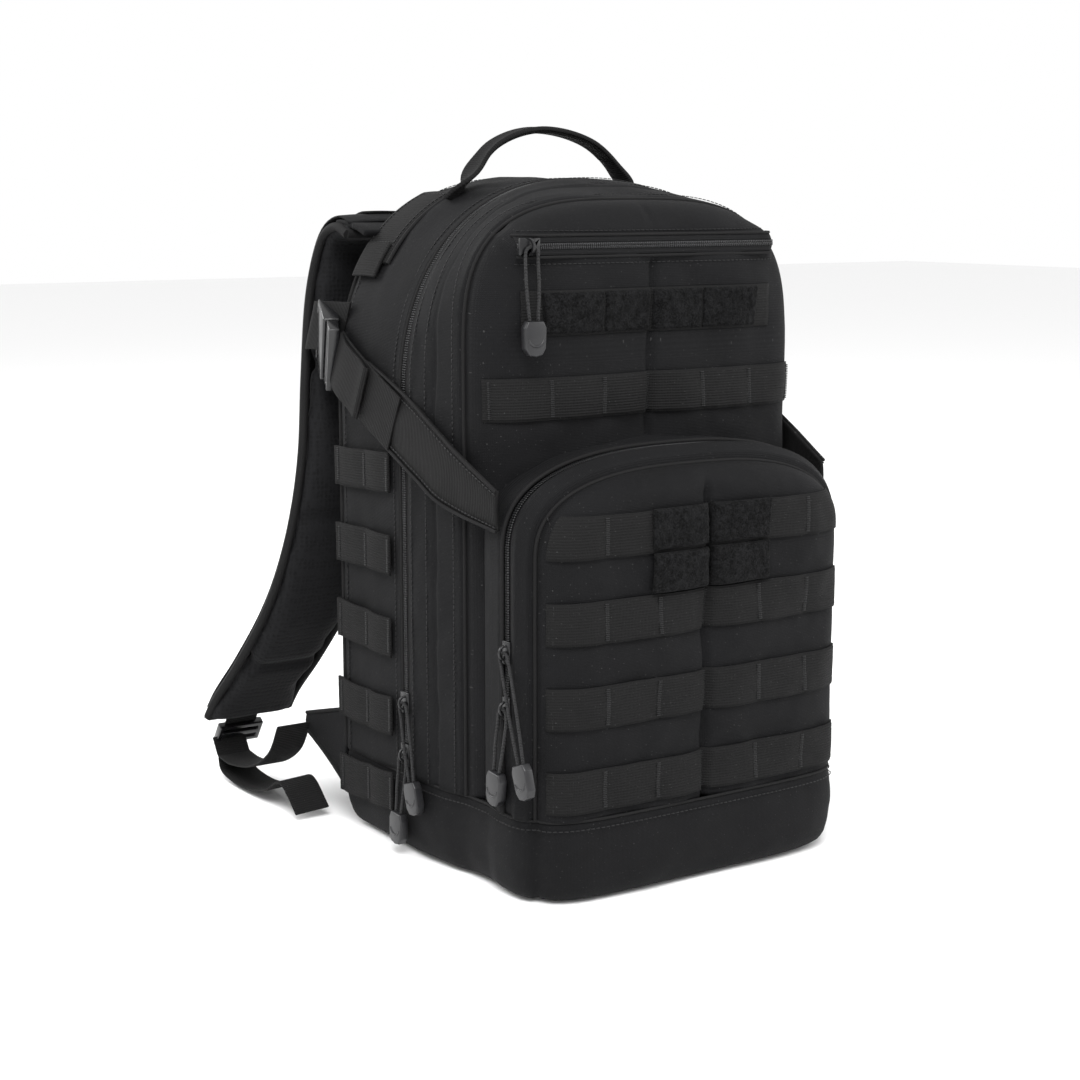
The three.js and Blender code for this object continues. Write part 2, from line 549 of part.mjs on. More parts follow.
for (const { name, at, turn, lean, drop } of sliders) {
  const onFace = turn === 0;
  const group = new THREE.Group();
  group.position.set(...at);
  group.rotation.z = turn;
  pack.add(group);
  add(`${name}_slider`, sliderSolid(!onFace, onFace), cloth(PLASTIC, 0.3), group);
  const pull = new THREE.Group();
  pull.position.y = PLATE_FACE - CORD_OFFSET;
  pull.rotation.y = lean;
  group.add(pull);
  add(`${name}_pull_cord`, cordSolid(drop), cloth(PLASTIC), pull);
  const gripGroup = new THREE.Group();
  gripGroup.position.set(0, -GRIP_OUT, -drop - GAP);
  pull.add(gripGroup);
  add(`${name}_pull_grip`, gripSolid(), cloth(PLASTIC, 0.5), gripGroup);
}

// ---------------------------------------------------------------- carry handle
const HANDLE_HALF = 60;
const HANDLE_RISE = 44;
const HANDLE_THICK = 4;
const HANDLE_WIDTH = 25.4;
const HANDLE_Y = (MAIN_ZIP_Y + REAR_Y) / 2 - 2;
const FOOT_HALF = 3;             // the webbing is pinched together where it is sewn down
const footZ = crownHeight(HANDLE_HALF);
const footRise = 11;
const handleLine = [
  v2(-HANDLE_HALF, footZ + footRise), v2(-HANDLE_HALF + 6, footZ + footRise + 10),
  v2(-HANDLE_HALF * 0.5, footZ + HANDLE_RISE * 0.8), v2(0, footZ + HANDLE_RISE),
  v2(HANDLE_HALF * 0.5, footZ + HANDLE_RISE * 0.8), v2(HANDLE_HALF - 6, footZ + footRise + 10),
  v2(HANDLE_HALF, footZ + footRise)];
const footBlock = (x) => box(x - HANDLE_THICK / 2, x + HANDLE_THICK / 2,
  HANDLE_Y - FOOT_HALF, HANDLE_Y + FOOT_HALF, footZ + 3.5, footZ + footRise + 3);
add('carry_handle', join(
  alongY(ribbon(handleLine, HANDLE_THICK, 20), HANDLE_Y - HANDLE_WIDTH / 2, HANDLE_Y + HANDLE_WIDTH / 2),
  footBlock(-HANDLE_HALF + 0.6), footBlock(HANDLE_HALF - 0.6)), cloth(WEBBING));

// ---------------------------------------------------------------- shoulder straps
// Side view (y, z) of the pad's middle line, from the yoke down to the adjuster.
const strapTop = PACK_HEIGHT - 36;
const padLine = [
  v2(REAR_Y + 8.5, strapTop), v2(REAR_Y + 28, strapTop + 5), v2(REAR_Y + 46, strapTop - 6),
  v2(REAR_Y + 53, strapTop - 42), v2(REAR_Y + 46, strapTop - 94), v2(REAR_Y + 37, strapTop - 144),
  v2(REAR_Y + 38, 205), v2(REAR_Y + 48, 165), v2(REAR_Y + 66, 130), v2(REAR_Y + 96, 92),
  v2(REAR_Y + 122, 64), v2(REAR_Y + 134, 46)];
const SPLAY = 0.156;            // how far the strap leans outwards for each unit it drops
const STRAP_TOP_X = HALF_WIDTH - 46;
const lean = (manifold) => {
  // x moves outwards as z drops below the strap's top
  const shear = new THREE.Matrix4().set(
    1, 0, SPLAY, -SPLAY * strapTop, 0, 1, 0, 0, 0, 0, 1, 0, 0, 0, 0, 1);
  return solid(geometryOf(manifold).applyMatrix4(shear));
};
const strapPad = lean(alongX(ribbon(padLine, STRAP_THICK, 26),
  -STRAP_TOP_X - STRAP_WIDTH / 2, -STRAP_TOP_X + STRAP_WIDTH / 2));
addPair('shoulder_strap_pad', strapPad, cloth(FABRIC));

// adjuster: a ladder lock at the pad's end, one run up to the anchor wing and one free tail
const LOCK_WIDTH = 34;
const LOCK_THICK = 6;
const LOCK_LENGTH = 18;
const LOCK_Y = REAR_Y + 145;
const LOCK_Z = 31;
const lockX = -STRAP_TOP_X - SPLAY * (strapTop - LOCK_Z);
const lock = cut(
  box(-LOCK_WIDTH / 2, LOCK_WIDTH / 2, -LOCK_THICK / 2, LOCK_THICK / 2, -LOCK_LENGTH / 2, LOCK_LENGTH / 2),
  box(-WEB_WIDTH / 2 - 1, WEB_WIDTH / 2 + 1, -FAR, FAR, -5.5, -2),
  box(-WEB_WIDTH / 2 - 1, WEB_WIDTH / 2 + 1, -FAR, FAR, 2, 5.5));
const anchorRun = [
  v2(REAR_Y + 41, 60), v2(REAR_Y + 56, 38), v2(REAR_Y + 84, 22), v2(REAR_Y + 118, 15),
  v2(REAR_Y + 140, 16)];
const freeTail = [
  v2(REAR_Y + 139, 16), v2(REAR_Y + 136, 8), v2(REAR_Y + 122, 4), v2(REAR_Y + 95, 3.6),
  v2(REAR_Y + 64, 10), v2(REAR_Y + 46, 20), v2(REAR_Y + 34, 19), v2(REAR_Y + 16, 5)];
const webX = -HALF_WIDTH - 4 - WEB_WIDTH;
const adjuster = join(
  alongX(ribbon(anchorRun, WEB_THICK, 12), webX, webX + WEB_WIDTH),
  alongX(ribbon(freeTail, WEB_THICK, 18), webX, webX + WEB_WIDTH));
addPair('adjuster_webbing', adjuster, cloth(WEBBING));
for (const [word, side] of SIDES) {
  const lockGroup = new THREE.Group();
  lockGroup.position.set(side * lockX, LOCK_Y, LOCK_Z);
  lockGroup.rotation.x = THREE.MathUtils.degToRad(35);
  pack.add(lockGroup);
  add(`ladder_lock_${word}`, lock, cloth(PLASTIC, 0.35), lockGroup);
}

export default pack;
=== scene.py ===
# %% [markdown]
# A trauma backpack is a cloth shell over foam, with webbing rows, zips, padded straps and moulded buckles.
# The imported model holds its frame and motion. This notebook gives every piece its cloth, seams and finish.
# %% Load the frame
import math

import bmesh
import bpy
from mathutils import Matrix, Vector, noise


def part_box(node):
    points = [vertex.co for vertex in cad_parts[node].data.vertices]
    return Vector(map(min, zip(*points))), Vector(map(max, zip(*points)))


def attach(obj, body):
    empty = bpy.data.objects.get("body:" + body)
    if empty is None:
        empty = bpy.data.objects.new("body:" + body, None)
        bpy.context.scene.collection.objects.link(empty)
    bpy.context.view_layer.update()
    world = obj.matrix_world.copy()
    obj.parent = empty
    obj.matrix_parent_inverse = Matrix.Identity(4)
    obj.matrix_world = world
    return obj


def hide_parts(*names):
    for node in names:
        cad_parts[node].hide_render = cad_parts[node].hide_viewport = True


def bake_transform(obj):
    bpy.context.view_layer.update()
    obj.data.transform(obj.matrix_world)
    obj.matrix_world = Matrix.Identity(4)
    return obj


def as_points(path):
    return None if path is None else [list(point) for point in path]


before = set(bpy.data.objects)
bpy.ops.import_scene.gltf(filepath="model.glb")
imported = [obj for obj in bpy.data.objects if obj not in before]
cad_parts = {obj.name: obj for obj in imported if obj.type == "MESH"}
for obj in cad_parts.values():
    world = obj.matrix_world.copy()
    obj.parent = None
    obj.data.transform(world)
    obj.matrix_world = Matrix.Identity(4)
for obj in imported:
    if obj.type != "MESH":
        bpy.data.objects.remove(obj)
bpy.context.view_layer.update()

scene = bpy.context.scene
scene.view_settings.view_transform = "Standard"

# %% [markdown]
# The camera stands a little above the pack's middle, off its left front corner, so that the pocket, the
# side rows and one shoulder strap all show. A mild telephoto lens keeps the upright edges near parallel.
# %% Camera
CAMERA_PLACE = (-0.744, -1.058, 0.420)
CAMERA_TILT = math.radians(80.11)
CAMERA_TURN = math.radians(-33.71)
camera_data = bpy.data.cameras.new("camera")
camera_data.lens = 66.67
camera_data.sensor_width = 36
camera = bpy.data.objects.new("camera", camera_data)
camera.location = CAMERA_PLACE
camera.rotation_euler = (CAMERA_TILT, 0, CAMERA_TURN)
scene.collection.objects.link(camera)
scene.camera = camera

# %% [markdown]
# A pale floor and a white room light black cloth best: the sky fills the weave evenly, a large soft panel
# over the left shoulder lights the tops, and a second one behind draws the edges of straps and buckles.
# %% Floor and light
def soft_panel(name, place, target, width, power):
    lamp = bpy.data.lights.new(name, "AREA")
    lamp.shape = "RECTANGLE"
    lamp.size = width
    lamp.size_y = width
    lamp.energy = power
    panel = bpy.data.objects.new(name, lamp)
    panel.location = place
    panel.rotation_euler = (Vector(target) - Vector(place)).to_track_quat("-Z", "Y").to_euler()
    scene.collection.objects.link(panel)


MIDDLE = (0, 0, 0.22)
soft_panel("key", (-1.0, -1.3, 2.1), MIDDLE, 1.4, 74)
soft_panel("fill", (1.9, -1.2, 1.2), MIDDLE, 1.5, 20)
soft_panel("rim", (-1.2, 1.8, 1.5), MIDDLE, 1.2, 30)
world = bpy.data.worlds.new("studio")
world.use_nodes = True
world.node_tree.nodes["Background"].inputs["Color"].default_value = (1, 1, 1, 1)
world.node_tree.nodes["Background"].inputs["Strength"].default_value = 1.0
scene.world = world

floor_mesh = bpy.data.meshes.new("floor")
floor_bm = bmesh.new()
bmesh.ops.create_grid(floor_bm, x_segments=1, y_segments=1, size=8)
floor_bm.to_mesh(floor_mesh)
floor_bm.free()
floor = bpy.data.objects.new("floor", floor_mesh)
scene.collection.objects.link(floor)
floor.data.transform(Matrix.Translation((0, 0, -0.001)))
floor_finish = bpy.data.materials.new("floor")
floor_finish.use_nodes = True
floor_finish.node_tree.nodes["Principled BSDF"].inputs["Base Color"].default_value = (0.9, 0.9, 0.9, 1)
floor_finish.node_tree.nodes["Principled BSDF"].inputs["Roughness"].default_value = 0.9
floor_mesh.materials.append(floor_finish)

# %% [markdown]
# Cloth finishes share one recipe. Two crossed wave patterns are the warp and the weft, noise makes the yarn
# uneven, and a broad noise gives the slight fading that worn nylon has. Webbing swaps the weft for coarse
# ribs. The weave runs on each piece's own map, laid out in metres, so that it keeps its real size.
# %% Woven finishes
WAVE_PERIOD = math.pi / 10      # length of one band of a wave pattern whose scale is 1


class Nodes:
    """a small helper that adds nodes to one material and joins them"""

    def __init__(self, name, roughness, metallic=0.0):
        self.material = bpy.data.materials.new(name)
        self.material.use_nodes = True
        self.tree = self.material.node_tree
        self.shader = self.tree.nodes["Principled BSDF"]
        self.shader.inputs["Roughness"].default_value = roughness
        self.shader.inputs["Metallic"].default_value = metallic

    def add(self, kind, inputs=(), **settings):
        node = self.tree.nodes.new(kind)
        for key, value in settings.items():
            setattr(node, key, value)
        for key, value in dict(inputs).items():
            if isinstance(value, bpy.types.NodeSocket):
                self.tree.links.new(value, node.inputs[key])
            else:
                node.inputs[key].default_value = value
        return node

    def place(self, woven):
        """the piece's own map on woven cloth, its object place elsewhere"""
        if woven:
            return self.add("ShaderNodeUVMap", uv_map="weave").outputs["UV"]
        return self.add("ShaderNodeTexCoord").outputs["Object"]

    def wave(self, place, pitch, direction, distortion=0.0):
        node = self.add("ShaderNodeTexWave", {"Vector": place, "Scale": WAVE_PERIOD / pitch,
                        "Distortion": distortion}, wave_type="BANDS", bands_direction=direction)
        return node.outputs["Fac"]

    def noise(self, place, size, detail=2.0):
        node = self.add("ShaderNodeTexNoise", {"Vector": place, "Scale": 1 / size, "Detail": detail})
        return node.outputs["Fac"]

    def maths(self, operation, one, two):
        return self.add("ShaderNodeMath", {0: one, 1: two}, operation=operation).outputs[0]

    def ramp(self, value, low, high, start=0.0, end=1.0):
        node = self.add("ShaderNodeValToRGB", {"Fac": value})
        node.color_ramp.elements[0].position = start
        node.color_ramp.elements[1].position = end
        node.color_ramp.elements[0].color = (*low, 1)
        node.color_ramp.elements[1].color = (*high, 1)
        return node.outputs["Color"]

    def finish(self, colour, height, depth, sheen=0.0, gloss=0.5):
        self.tree.links.new(colour, self.shader.inputs["Base Color"])
        bump = self.add("ShaderNodeBump", {"Height": height, "Distance": depth, "Strength": 0.8})
        self.tree.links.new(bump.outputs["Normal"], self.shader.inputs["Normal"])
        self.shader.inputs["Sheen Weight"].default_value = sheen
        self.shader.inputs["Sheen Roughness"].default_value = 0.45
        self.shader.inputs["Specular IOR Level"].default_value = gloss
        return self.material


def lighter(colour, share):
    return tuple(channel * share for channel in colour)


def woven_cloth(name, colour, pitch, depth, roughness, ribbed=False, woven=True):
    nodes = Nodes(name, roughness)
    place = nodes.place(woven)
    warp = nodes.wave(place, pitch, "X", 0.6)
    weft = nodes.wave(place, pitch * (1.7 if ribbed else 1.0), "Y" if woven else "Z", 0.6)
    yarn = nodes.noise(place, pitch * 2.2)
    crossed = nodes.maths("MULTIPLY", warp, weft)
    if ribbed:
        crossed = nodes.maths("ADD", nodes.maths("MULTIPLY", warp, 0.35), weft)
    height = nodes.maths("ADD", crossed, nodes.maths("MULTIPLY", yarn, 0.9))
    fading = nodes.noise(place, 0.045, 4.0)
    tone = nodes.maths("ADD", nodes.maths("MULTIPLY", height, 0.3), nodes.maths("MULTIPLY", fading, 0.7))
    base = nodes.ramp(tone, lighter(colour, 0.62), lighter(colour, 1.45), 0.3, 0.85)
    lint = nodes.ramp(nodes.noise(place, 0.0011, 0.0), (0, 0, 0), (1, 1, 1), 0.79, 0.82)
    mixed = nodes.add("ShaderNodeMix", {0: lint, 6: base, 7: (0.03, 0.03, 0.03, 1)}, data_type="RGBA")
    return nodes.finish(mixed.outputs[2], height, depth, sheen=0.006, gloss=0.16)


FINISHES = {
    "pack_cloth": woven_cloth("pack_cloth", (0.0024, 0.0024, 0.0029), 0.0009, 0.00022, 0.78),
    "webbing": woven_cloth("webbing", (0.0040, 0.0039, 0.0040), 0.0010, 0.00032, 0.8, ribbed=True),
    "zip_tape": woven_cloth("zip_tape", (0.0036, 0.0036, 0.0040), 0.0007, 0.00015, 0.75, ribbed=True),
    "lining": woven_cloth("lining", (0.018, 0.018, 0.020), 0.0006, 0.00008, 0.6),
}
print("woven finishes", sorted(FINISHES))

# %% [markdown]
# Loop pile is a mat of tiny nylon hoops: no direction, very rough, darker than the cloth. Cell noise in two
# sizes stands in for the tufts. Spacer mesh has rows of round holes over foam, made here by a cell pattern
# on the piece's object place, because those pads are remeshed and have no map of their own.
# %% Pile, mesh, thread
def pile(name, colour):
    nodes = Nodes(name, 0.95)
    place = nodes.place(False)
    tufts = nodes.noise(place, 0.0011, 3.0)
    clumps = nodes.noise(place, 0.0045, 2.0)
    height = nodes.maths("ADD", tufts, nodes.maths("MULTIPLY", clumps, 0.6))
    base = nodes.ramp(height, lighter(colour, 0.25), lighter(colour, 2.6), 0.62, 1.05)
    return nodes.finish(base, height, 0.0012, sheen=0.01, gloss=0.1)


def spacer_mesh(name, colour):
    nodes = Nodes(name, 0.85)
    place = nodes.place(False)
    holes = nodes.add("ShaderNodeTexVoronoi", {"Vector": place, "Scale": 1 / 0.0031, "Randomness": 0.35})
    rim = nodes.maths("MINIMUM", holes.outputs["Distance"], 0.55)
    knit = nodes.noise(place, 0.0008)
    height = nodes.maths("ADD", rim, nodes.maths("MULTIPLY", knit, 0.25))
    base = nodes.ramp(height, lighter(colour, 0.35), lighter(colour, 1.35), 0.15, 0.7)
    return nodes.finish(base, height, 0.0007, sheen=0.01, gloss=0.2)


def plain_grain(name, colour, size, depth, roughness, metallic=0.0, gloss=0.5):
    nodes = Nodes(name, roughness, metallic)
    place = nodes.place(False)
    grain = nodes.noise(place, size, 3.0)
    wear = nodes.noise(place, size * 22, 3.0)
    tone = nodes.maths("ADD", nodes.maths("MULTIPLY", grain, 0.4), nodes.maths("MULTIPLY", wear, 0.6))
    base = nodes.ramp(tone, lighter(colour, 0.7), lighter(colour, 1.4), 0.3, 0.7)
    rough = nodes.add("ShaderNodeMapRange", {"Value": wear, 3: roughness * 0.8, 4: roughness * 1.25})
    nodes.tree.links.new(rough.outputs[0], nodes.shader.inputs["Roughness"])
    return nodes.finish(base, grain, depth, gloss=gloss)


def braid(name, colour):
    nodes = Nodes(name, 0.7)
    place = nodes.place(False)
    turned = nodes.add("ShaderNodeMapping", {"Vector": place, "Rotation": (0.5, 0.6, 0.4)})
    over = nodes.wave(turned.outputs["Vector"], 0.0011, "DIAGONAL")
    under = nodes.wave(place, 0.0012, "DIAGONAL")
    height = nodes.maths("MAXIMUM", over, under)
    base = nodes.ramp(height, lighter(colour, 0.5), lighter(colour, 1.6), 0.2, 0.95)
    return nodes.finish(base, height, 0.0003, sheen=0.02, gloss=0.25)


FINISHES.update({
    "loop_pile": pile("loop_pile", (0.0034, 0.0034, 0.0036)),
    "mesh_pad": spacer_mesh("mesh_pad", (0.0042, 0.0042, 0.0048)),
    "thread": plain_grain("thread", (0.0056, 0.0056, 0.0060), 0.0005, 0.0001, 0.6, gloss=0.3),
    "binding": plain_grain("binding", (0.0050, 0.0049, 0.0051), 0.0009, 0.0003, 0.8, gloss=0.2),
    "pull_cord": braid("pull_cord", (0.0100, 0.0100, 0.0105)),
    "buckle": plain_grain("buckle", (0.0060, 0.0060, 0.0066), 0.0007, 0.00003, 0.2),
    "pull_grip": plain_grain("pull_grip", (0.0130, 0.0130, 0.0142), 0.0006, 0.00004, 0.36, gloss=0.4),
    "slider": plain_grain("slider", (0.0080, 0.0080, 0.0088), 0.0009, 0.00004, 0.32, metallic=0.35),
    "frame_sheet": plain_grain("frame_sheet", (0.045, 0.045, 0.05), 0.0012, 0.0001, 0.5),
})
print("finishes", len(FINISHES))

# %% [markdown]
# Cloth pieces begin as a flat grid, the way a cutter lays out a panel. Each grid point is then moved to its
# place on the pack, and the flat layout is kept as the weave's map. Thickness comes from a live Solidify.
# %% Helpers for panels
WEAVE = "weave"


def piece_from(name, bm, finish, body, replaced=(), thick=0.0):
    mesh = bpy.data.meshes.new(name)
    bm.to_mesh(mesh)
    bm.free()
    return finish_piece(name, mesh, finish, body, replaced, thick)


def finish_piece(name, mesh, finish, body, replaced=(), thick=0.0):
    piece = bpy.data.objects.new(name, mesh)
    scene.collection.objects.link(piece)
    mesh.shade_smooth()
    mesh.materials.clear()
    mesh.materials.append(FINISHES[finish])
    if thick:
        wall = piece.modifiers.new("thickness", "SOLIDIFY")
        wall.thickness = thick
        wall.offset = -1
    if isinstance(body, str):
        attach(piece, body)
    else:
        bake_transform(piece)
    if replaced:
        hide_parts(*replaced)
    return piece


def panel(across, along, place, cut):
    """a grid of cloth: place(u, v) gives each point and cut is its flat size in metres"""
    bm = bmesh.new()
    layer = bm.loops.layers.uv.new(WEAVE)
    bmesh.ops.create_grid(bm, x_segments=across, y_segments=along, size=0.5)
    for face in bm.faces:
        for loop in face.loops:
            loop[layer].uv = (loop.vert.co.x * cut[0], loop.vert.co.y * cut[1])
    for vert in bm.verts:
        vert.co = place(vert.co.x + 0.5, vert.co.y + 0.5)
    return bm


def face_out(bm, middle):
    """turns the faces of an open shell away from a point inside it"""
    bm.normal_update()
    inner = Vector(middle)
    if sum(face.normal.dot(face.calc_center_median() - inner) for face in bm.faces) < 0:
        bmesh.ops.reverse_faces(bm, faces=bm.faces[:])
    return bm


def even(points, closed=False):
    """a function of 0..1 that walks the points at an even pace"""
    run = [Vector(point) for point in points]
    if closed:
        run.append(run[0].copy())
    marks = [0.0]
    for before, after in zip(run, run[1:]):
        marks.append(marks[-1] + (after - before).length)
    total = marks[-1]

    def walk(share):
        goal = min(max(share, 0), 1) * total
        low, high = 0, len(marks) - 1
        while high - low > 1:
            middle = (low + high) // 2
            if marks[middle] <= goal:
                low = middle
            else:
                high = middle
        span = marks[high] - marks[low]
        return run[low].lerp(run[high], (goal - marks[low]) / span if span else 0)
    walk.length = total
    return walk


def smooth_run(points, steps=12):
    """points of a smooth curve through the given ones"""
    run = [Vector(point) for point in points]
    full = [run[0] * 2 - run[1], *run, run[-1] * 2 - run[-2]]
    out = []
    for a, b, c, d in zip(full, full[1:], full[2:], full[3:]):
        for step in range(steps):
            t = step / steps
            out.append(0.5 * (2 * b + (c - a) * t + (2 * a - 5 * b + 4 * c - d) * t ** 2
                              + (3 * b - a - 3 * c + d) * t ** 3))
    return [*out, run[-1]]


def creases(point, size, depth, seed=0.0):
    """soft uneven folds, always the same at the same place"""
    shifted = Vector(point) / size + Vector((seed, seed * 1.7, seed * 0.6))
    return depth * noise.noise(shifted)


def bell(value, width):
    return math.exp(-(value / width) ** 2)


# %% [markdown]
# A flat strap is a ribbon: a row of points across its width, carried along a smooth line. Cords and bound
# edges are round tubes along such a line, and stitches are many tiny beads of thread laid in a row.
# %% Helpers for straps, tubes and stitches
def ribbon(name, line, width, across, finish, body, thick=0.0014, replaced=(), puff=0.0):
    """a flat strap: line is points, across gives the direction of its width at a share of its length"""
    walk = even(line)
    steps = max(8, int(walk.length / 0.003))

    def place(u, v):
        side = Vector(across(v)).normalized()
        wide = width(v) if callable(width) else width
        ahead = (walk(min(v + 0.01, 1)) - walk(max(v - 0.01, 0))).normalized()
        swell = puff * (1 - (2 * u - 1) ** 2)
        return walk(v) + side * (u - 0.5) * wide + side.cross(ahead) * swell
    bm = panel(8, steps, place, (width(0.5) if callable(width) else width, walk.length))
    piece = piece_from(name, bm, finish, body, replaced, thick)
    piece.modifiers["thickness"].offset = 0
    edge = piece.modifiers.new("edge", "BEVEL")
    edge.width = thick * 0.3
    edge.segments = 2
    return piece


def tube_mesh(line, radius, name="tube", closed=False):
    curve = bpy.data.curves.new(name, "CURVE")
    curve.dimensions = "3D"
    spline = curve.splines.new("POLY")
    spline.points.add(len(line) - 1)
    for point, at in zip(spline.points, line):
        point.co = (*at, 1)
    spline.use_cyclic_u = closed
    curve.bevel_depth = radius
    curve.bevel_resolution = 1
    curve.use_fill_caps = not closed
    holder = bpy.data.objects.new(name, curve)
    scene.collection.objects.link(holder)
    mesh = bpy.data.meshes.new_from_object(holder.evaluated_get(bpy.context.evaluated_depsgraph_get()))
    bpy.data.objects.remove(holder)
    bpy.data.curves.remove(curve)
    return mesh


def tube(name, line, radius, finish, body, replaced=(), closed=False):
    return finish_piece(name, tube_mesh(line, radius, name, closed), finish, body, replaced, 0)


def tubes(name, lines, radius, finish, body):
    bm = bmesh.new()
    for line in lines:
        mesh = tube_mesh(line, radius)
        bm.from_mesh(mesh)
        bpy.data.meshes.remove(mesh)
    return piece_from(name, bm, finish, body, (), 0)


STITCH_PITCH = 0.0034
STITCH = Vector((0.0024, 0.00055, 0.0005))


def beads(bm, line, outward, pitch=STITCH_PITCH, size=STITCH, turned=False):
    """a row of thread beads along a line; outward is the face's normal, or a function of the place"""
    walk = even(line)
    count = max(1, int(walk.length / pitch))
    for index in range(count):
        share = (index + 0.5) / count
        at = walk(share)
        ahead = (walk(min(share + 0.004, 1)) - walk(max(share - 0.004, 0))).normalized()
        normal = Vector(outward(at) if callable(outward) else outward).normalized()
        side = normal.cross(ahead).normalized()
        frame3 = Matrix((side, ahead, normal) if turned else (ahead, side, normal)).transposed().to_4x4()
        frame3.translation = at
        bmesh.ops.create_cube(bm, size=1, matrix=frame3 @ Matrix.Diagonal((*size, 1)))


def stitches(name, rows, body):
    bm = bmesh.new()
    for line, outward in rows:
        beads(bm, line, outward)
    return piece_from(name, bm, "thread", body, (), 0)


def refined(name, node, finish, body, width, segments=3, extra=None):
    """a moulded piece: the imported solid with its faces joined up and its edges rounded"""
    bm = bmesh.new()
    bm.from_mesh(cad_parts[node].data)
    bmesh.ops.remove_doubles(bm, verts=bm.verts, dist=0.00002)
    bmesh.ops.dissolve_limit(bm, angle_limit=math.radians(2), verts=bm.verts, edges=bm.edges)
    sharp = [edge for edge in bm.edges if len(edge.link_faces) == 2 and edge.calc_face_angle() > 0.35]
    bmesh.ops.bevel(bm, geom=sharp, offset=width, offset_type="OFFSET", affect="EDGES", segments=segments,
                    profile=0.5, material=-1, clamp_overlap=True)
    if extra:
        extra(bm)
    return piece_from(name, bm, finish, body, (node,))


# %% [markdown]
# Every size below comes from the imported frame: the boxes of its nodes give the shell's width, the planes of
# the zips and the seams. The crown is a superellipse, fuller in front than at the zip, as the real panels
# are cut.
# %% Measure the frame
def low(node):
    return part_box(node)[0]


def high(node):
    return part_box(node)[1]


HALF = high("rear_shell")[0]
TOP = high("rear_shell")[2]
SEAM = low("rear_shell")[2]
REAR = high("back_panel")[1]
ZIP = (low("main_zip_rear_tape")[1] + high("main_zip_front_tape")[1]) / 2
ZIP_REAR = low("rear_shell")[1]
ZIP_FRONT = high("front_shell")[1]
FACE = low("front_shell")[1]
POCKET_HALF = high("pocket_gusset")[0]
POCKET_TOP = high("pocket_gusset")[2]
POCKET_ZIP = (low("pocket_zip_rear_tape")[1] + high("pocket_zip_front_tape")[1]) / 2
POCKET_FACE = low("pocket_flap")[1]
FOLD = low("pocket_flap")[2]
ADMIN_ZIP = (low("admin_slider")[2] + high("admin_slider")[2]) / 2
WEB = high("upper_webbing_row")[2] - low("upper_webbing_row")[2]
GUSSET_EDGE = low("pocket_gusset")[1]
FLAP_EDGE = high("pocket_flap")[1]
BORDER_SEAM = FLAP_EDGE - 0.0105
BORDER_HALF = POCKET_HALF - 0.0085
PILLOW = POCKET_FACE - BORDER_SEAM
SPACING = 0.0381                # from one sewn bar of a webbing row to the next
WALL = 0.0028
print("shell", HALF, TOP, REAR, "zips", ZIP, POCKET_ZIP, "pocket", POCKET_HALF, POCKET_TOP, POCKET_FACE)

CROWN_STEPS = 80


def crown(half, top, drop, power, base):
    """an even walk from the left foot of an arch over its crown to the right foot"""
    points = [Vector((-half, base))]
    for step in range(CROWN_STEPS + 1):
        turn = math.pi * step / CROWN_STEPS
        x = -half * math.copysign(abs(math.cos(turn)) ** (2 / power), math.cos(turn))
        points.append(Vector((x, top - drop + drop * max(math.sin(turn), 0) ** (2 / power))))
    points.append(Vector((half, base)))
    return even(points)


REAR_CROWN = (HALF - 0.002, TOP - 0.004, 0.138, 2.5)
MIDDLE_CROWN = (HALF + 0.001, TOP + 0.0005, 0.138, 2.4)
ZIP_CROWN = (HALF, TOP, 0.138, 2.25)
FRONT_ZIP_CROWN = (HALF - 0.0005, TOP - 0.001, 0.136, 2.3)
FRONT_CROWN = (HALF - 0.0085, TOP - 0.013, 0.095, 3.2)
FRONT_SEAM = -0.043


def arch(size, base=SEAM):
    return crown(*size, base)


def gusset_bm(stations, along, rows, cut_depth, fold_depth, seed):
    """a band of cloth between several arches; stations are (share, arch, y)"""
    walks = [(share, arch(size), y) for share, size, y in stations]

    def place(u, v):
        for (s0, w0, y0), (s1, w1, y1) in zip(walks, walks[1:]):
            if v <= s1 or s1 == walks[-1][0]:
                t = (v - s0) / (s1 - s0)
                if 0 <= t <= 1 or s1 == walks[-1][0]:
                    flat = w0(u).lerp(w1(u), t)
                    y = y0 + (y1 - y0) * t
                    break
        point = Vector((flat.x, y, flat.y))
        away = Vector((flat.x, 0, max(flat.y - (TOP - 0.138), 0) * 0.95)).normalized()
        calm = min(1, 6 * v * (1 - v)) * min(1, (flat.y - SEAM) / 0.02)
        return point + away * calm * (creases(point, 0.045, fold_depth, seed)
                                      + creases(point, 0.016, fold_depth * 0.3, seed))
    bm = panel(along, rows, place, (walks[0][1].length, cut_depth))
    return face_out(bm, (0, (stations[0][2] + stations[-1][2]) / 2, 0.2))


# %% [markdown]
# The rear half is one long band of cloth sewn round the back panel. It runs up one side, over the crown and
# down the other, and it fills out a little between its two seams, because foam lies behind it.
# %% Rear shell
rear_shell = piece_from("rear_gusset", gusset_bm(
    [(0, REAR_CROWN, REAR), (0.12, MIDDLE_CROWN, REAR - 0.010), (0.55, MIDDLE_CROWN, 0.055),
     (0.93, ZIP_CROWN, ZIP_REAR + 0.002), (1, ZIP_CROWN, ZIP_REAR - 0.003)],
    240, 34, REAR - ZIP_REAR, 0.0022, 1.3), "pack_cloth", "pack_body", ("rear_shell",), WALL)


def seam_line(size, y, lift=0.0, base=SEAM, start=0.0, end=1.0, steps=150):
    walk = crown(size[0] + lift, size[1] + lift, size[2], size[3], base)
    return [Vector((walk(s).x, y, walk(s).y))
            for s in (start + (end - start) * i / steps for i in range(steps + 1))]


def outward_of(point):
    return Vector((point.x, 0, max(point.z - (TOP - 0.138), 0) * 0.95))


